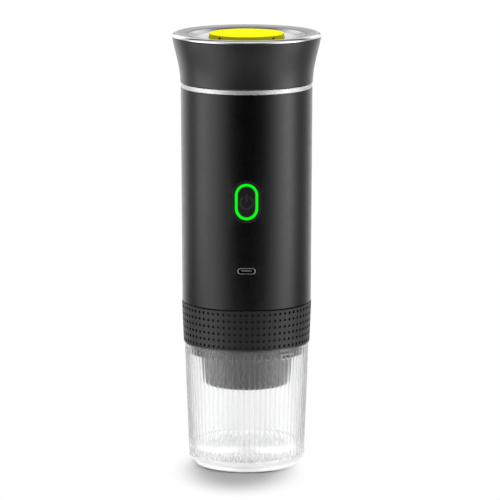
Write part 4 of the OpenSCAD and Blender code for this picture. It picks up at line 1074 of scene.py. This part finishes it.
for name, dark, light, roughness, line in (
    ("satin_top", (0.77, 0.77, 0.78), (0.83, 0.83, 0.84), 0.17, 0.2),
    ("satin_flat", (0.19, 0.19, 0.195), (0.22, 0.22, 0.225), 0.22, 0.2),
    ("polished_rim", (0.78, 0.78, 0.79), (0.84, 0.84, 0.85), 0.12, 0.12),
):
    coat(top_plate, turned_metal(name, dark, light, roughness, line))
for index, inner_r in ((1, flat_in_r), (2, lid_top_r - rim_w)):
    paint(top_plate, index,
          lambda p: math.hypot(p.x, p.y) > inner_r - touch and p.z > lid_edge_z - touch)
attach(top_plate, "lid")
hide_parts("lid_top_plate")

# Lid liner
# Threaded inner cap that closes the tank, held to the lid's shelf by four cross-head screws,
# with a silicone seal under its floor.
screw_ring_r = 23.45
liner_thread_room = 1
liner_thread_set = 1.2
liner_thread_rise = 0.9
dress(black_plastic_and_notch_shade, "lid_liner")
liner_thread = thread(
    "liner_thread", neck_r + liner_thread_room, -1, lid_z + liner_thread_set,
    neck_top + liner_thread_rise)
coat(liner_thread, black_plastic_and_notch_shade)
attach(liner_thread, "lid")
screw_low, screw_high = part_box("lid_screws")
for i in range(4):
    lid_screw = pan_screw("lid_screw_%d" % (i + 1), screw_low.z / mm, screw_high.z / mm)
    move(lid_screw, x=screw_ring_r, turn=math.pi / 4 + i * math.pi / 2)
    coat(lid_screw, screw_steel)
    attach(lid_screw, "lid")
    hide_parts("lid_screws")

# Vent button
# Yellow moulded button that is pressed to let steam out, with four small notches low in its side,
# their faces coloured black as painted shade.
# Under it run the stem, the silicone valve disc and the spring that lifts it.
vent_top = vent_high.z / mm
vent_bottom = vent_low.z / mm
vent_flange_r = vent_high.x / mm
vent_gap = 0.3
vent_flange_top = plate_top - dish_depth - plate_t - vent_gap
vent_t = 1.8
vent_roof = vent_top - vent_t
boss_r = 4.3
boss_in_r = 3.05
boss_h = 3
boss_z = vent_roof - boss_h
notch_w = 1.3
notch_h = 0.8
notch_drop = 1.45
notch_z = plate_top - notch_drop
vent_wall = 2.4
hollow_r = vent_r - vent_wall
button = turned("vent_cap", rounded([
    (0, vent_top, 0), (vent_r, vent_top, 0.4), (vent_r, vent_flange_top, 0),
    (vent_flange_r, vent_flange_top, 0.15), (vent_flange_r, vent_bottom, 0.15),
    (hollow_r, vent_bottom, 0.15), (hollow_r, vent_roof, 0.4), (boss_r, vent_roof, 0.3),
    (boss_r, boss_z, 0.1), (boss_in_r, boss_z, 0.1), (boss_in_r, vent_roof, 0), (0, vent_roof, 0),
]))
for i in range(4):
    notch = block("notch", (2 * notch_w, notch_w, notch_h))
    move(notch, x=vent_r, z=notch_z, turn=math.pi / 4 + i * math.pi / 2)
    combine(button, notch, "DIFFERENCE")
vent_yellow = moulded_plastic(
    "vent_yellow", (0.98, 0.95, 0.014), (1, 0.98, 0.018), 0.6, grain=0.25, height=0.004, gloss=0)
# The notch faces take the black finish: painted shade inside the notches, not a part of their own.
coat(button, vent_yellow, black_plastic_and_notch_shade)
paint(button, 1, lambda p: abs(p.z - notch_z) < notch_h / 2 + touch)
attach(button, "vent")
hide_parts("vent_button")
dress(moulded_plastic("stem_white", (0.7, 0.7, 0.67), (0.78, 0.78, 0.75), 0.35), "vent_stem")
dress(red_silicone, "vent_seal")
coil("vent_coil", "vent_spring")

# Studio
# Plain pale floor and a white backdrop, a broad soft box to either side with the front left dark,
# softer light from overhead and behind, and a long lens at the photograph's height and angle.
box_levels = [
    (-180, 1), (-178, 1), (-175, 0.42), (-162, 1.4), (-136, 1.2), (-122, 0.6), (-110, 0.45),
    (-100, 0.9), (-90, 2.2), (-78, 2.5), (-58, 1.7), (-42, 0.95), (-30, 0.3), (-16, 0.05), (0, 0.02),
    (16, 0.04), (30, 0.12), (42, 0.6), (54, 1.4), (66, 2.5), (78, 3.3), (86, 2.5), (94, 1.1),
    (102, 0.55), (112, 0.4), (125, 0.5), (138, 0.85), (162, 1.3), (175, 0.42), (178, 1), (180, 1),
]
box_top = 3.4
floor_levels = [
    (-180, 1), (-150, 1.2), (-132, 0.4), (-116, 0.1), (-98, 0.1), (-82, 0.35), (-62, 1.4),
    (-46, 1.2), (-30, 0.5), (-16, 0.12), (0, 0.04), (16, 0.1), (30, 0.3), (46, 0.9), (62, 1.5),
    (76, 1), (90, 0.25), (104, 0.1), (124, 0.2), (150, 1), (180, 1),
]
near_levels = [
    (-180, 1), (-130, 1.05), (-100, 0.9), (-85, 1.8), (-72, 2.6), (-58, 2.3), (-40, 1.5), (-18, 1),
    (0, 0.9), (18, 1), (40, 1.4), (58, 2.2), (72, 2.8), (85, 1.9), (100, 0.9), (130, 1.05), (180, 1),
]
height_levels = [
    (-1, 1), (0, 1), (0.08, 0.95), (0.17, 0.72), (0.3, 1.4), (0.4, 1.4), (0.5, 0.95), (0.64, 0.12),
    (1, 0.12),
]
height_top = 1.4
over_levels = [
    (-180, 0), (6, 0), (14, 0.08), (42, 0.1), (54, 0.9), (95, 0.9), (118, 0.12), (165, 0.12), (180, 0),
]
over_top = 1
diffuse_share = 0.28
floor_zones = ((0.23, 0.32, floor_levels), (0.4, 0.6, box_levels))
shade_shift = (0.0071, 0.02, 0)
shade_stretch = (1.8, 1, 1)
shade_edges = (0.022, 0.062)
through_share = 0.9
aim = Vector((0, 0, 0.1))
camera_drop = math.radians(9.762)
camera_place = (0.00166, -1.95396, 0.4427)


def follow(tree, value, low, high, levels, top):
    """Read a level off a curve of (place, level) points between low and high."""
    place = between(tree, value, low, high, ease="LINEAR")
    ramp = add_node(tree, "ShaderNodeValToRGB", {"Fac": place})
    stops = ramp.color_ramp.elements
    while len(stops) < len(levels):
        stops.new(0.5)
    for stop, (at, level) in zip(stops, levels):
        stop.position = (at - low) / (high - low)
        stop.color = (level / top, level / top, level / top, 1)
    return times(tree, ramp.outputs["Color"], top)


def degrees_round(tree, side, front):
    """The angle of a direction from the front, in degrees."""
    return times(tree, calculate(tree, "ARCTAN2", side, front), 180 / math.pi)


def studio_level(tree, direction, levels):
    """How bright the studio looks in a direction: boxes at the sides, a white backdrop behind."""
    split = add_node(tree, "ShaderNodeSeparateXYZ", {"Vector": direction})
    front = times(tree, split.outputs["Y"], -1)
    turn = degrees_round(tree, split.outputs["X"], front)
    around = follow(tree, turn, -180, 180, levels, box_top)
    height = follow(tree, split.outputs["Z"], -1, 1, height_levels, height_top)
    rise = degrees_round(tree, split.outputs["Z"], front)
    over = follow(tree, rise, -180, 180, over_levels, over_top)
    return calculate(tree, "MAXIMUM", times(tree, around, height), over)


def seen_straight(tree):
    """One for the eye's rays, also after clear plastic has bent or turned them back."""
    ray = tree.nodes.new("ShaderNodeLightPath")
    through = calculate(tree, "GREATER_THAN", ray.outputs["Transmission Depth"], 0.5)
    clean = calculate(tree, "LESS_THAN", ray.outputs["Diffuse Depth"], 0.5)
    bent = times(tree, through, clean)
    return calculate(tree, "MAXIMUM", ray.outputs["Is Camera Ray"], bent)


def not_from_eye(tree):
    """One for every ray but those that come straight from the eye."""
    ray = tree.nodes.new("ShaderNodeLightPath")
    return calculate(tree, "SUBTRACT", 1, ray.outputs["Is Camera Ray"])


def whitest(tree, level):
    """White for the eye itself, and for rays that clear plastic has bent at least white."""
    return calculate(tree, "MAXIMUM", times(tree, level, not_from_eye(tree)), 1)


def mix_levels(tree, factor, first, second):
    """Run from one level to another."""
    mixer = add_node(tree, "ShaderNodeMix", {"Factor": factor, "A": first, "B": second})
    return mixer.outputs["Result"]


def mix_shaders(tree, factor, first, second):
    """Run from one shader to another."""
    mixer = add_node(tree, "ShaderNodeMixShader", {0: factor, 1: first, 2: second})
    return mixer.outputs["Shader"]


def white_light(tree, level):
    """White light of a level."""
    return add_node(tree, "ShaderNodeEmission", {"Strength": level}).outputs["Emission"]


def pale_floor():
    """White floor with a faint mottle that keeps the shadow and runs out into the white backdrop."""
    finish, tree, shader, place = new_finish("pale_floor")
    tint(tree, noise(tree, place, 40), (0.82, 0.82, 0.82), (0.84, 0.84, 0.84))
    shader.inputs["Roughness"].default_value = 0.8
    shader.inputs["Specular IOR Level"].default_value = 0
    oval = {"Vector": place, "Location": shade_shift, "Scale": shade_stretch}
    shade = add_node(tree, "ShaderNodeMapping", oval)
    fade = between(tree, distance(tree, shade.outputs["Vector"]), *shade_edges)
    straight = seen_straight(tree)
    through = times(tree, not_from_eye(tree), through_share)
    lit = times(tree, calculate(tree, "MAXIMUM", fade, through), straight)
    away = distance(tree, place)
    level = studio_level(tree, place, near_levels)
    for start, end, levels in floor_zones:
        apart = between(tree, away, start, end, ease="LINEAR")
        level = mix_levels(tree, apart, level, studio_level(tree, place, levels))
    ray = tree.nodes.new("ShaderNodeLightPath")
    bent = calculate(tree, "SUBTRACT", 1, straight)
    glossy = times(tree, ray.outputs["Is Glossy Ray"], bent)
    shown = mix_shaders(tree, lit, shader.outputs["BSDF"], white_light(tree, whitest(tree, level)))
    whole = mix_shaders(tree, glossy, shown, white_light(tree, level))
    tree.links.new(whole, tree.nodes["Material Output"].inputs["Surface"])
    return finish


def soft_box(name, place, size, power):
    """A square soft light that faces the object and is kept out of glossy faces."""
    bpy.ops.object.light_add(type="AREA", location=place)
    lamp = bpy.context.object
    lamp.name = name
    lamp.data.size = size
    lamp.data.energy = power
    lamp.rotation_euler = (Vector(place) - aim).to_track_quat("Z", "Y").to_euler()
    lamp.visible_glossy = False


bpy.context.scene.view_settings.view_transform = "Standard"
bpy.ops.mesh.primitive_plane_add(size=6)
floor = bpy.context.object
floor.name = "floor"
coat(floor, pale_floor())
world = bpy.data.worlds.new("studio")
bpy.context.scene.world = world
world.use_nodes = True
sky = world.node_tree
boxes = studio_level(sky, sky.nodes.new("ShaderNodeTexCoord").outputs["Generated"], box_levels)
ray = sky.nodes.new("ShaderNodeLightPath")
clean = calculate(sky, "LESS_THAN", ray.outputs["Diffuse Depth"], 0.5)
glossy = times(sky, ray.outputs["Is Glossy Ray"], clean)
share = calculate(sky, "MAXIMUM", glossy, diffuse_share)
mirrored = times(sky, boxes, share)
level = mix_levels(sky, seen_straight(sky), mirrored, whitest(sky, boxes))
sky.nodes["Background"].inputs["Color"].default_value = (1, 1, 1, 1)
sky.links.new(level, sky.nodes["Background"].inputs["Strength"])
world.cycles.sampling_method = "NONE"
soft_box("top_box", (0, 0.1, 1.5), 1.6, 14)
soft_box("back_box", (0.2, 0.7, 1.2), 1.0, 6)
bpy.ops.object.camera_add(location=camera_place, rotation=(math.pi / 2 - camera_drop, 0, 0))
camera = bpy.context.object
camera.data.sensor_width = 36
camera.data.lens = 289.6
camera.data.clip_end = 20
bpy.context.scene.camera = camera
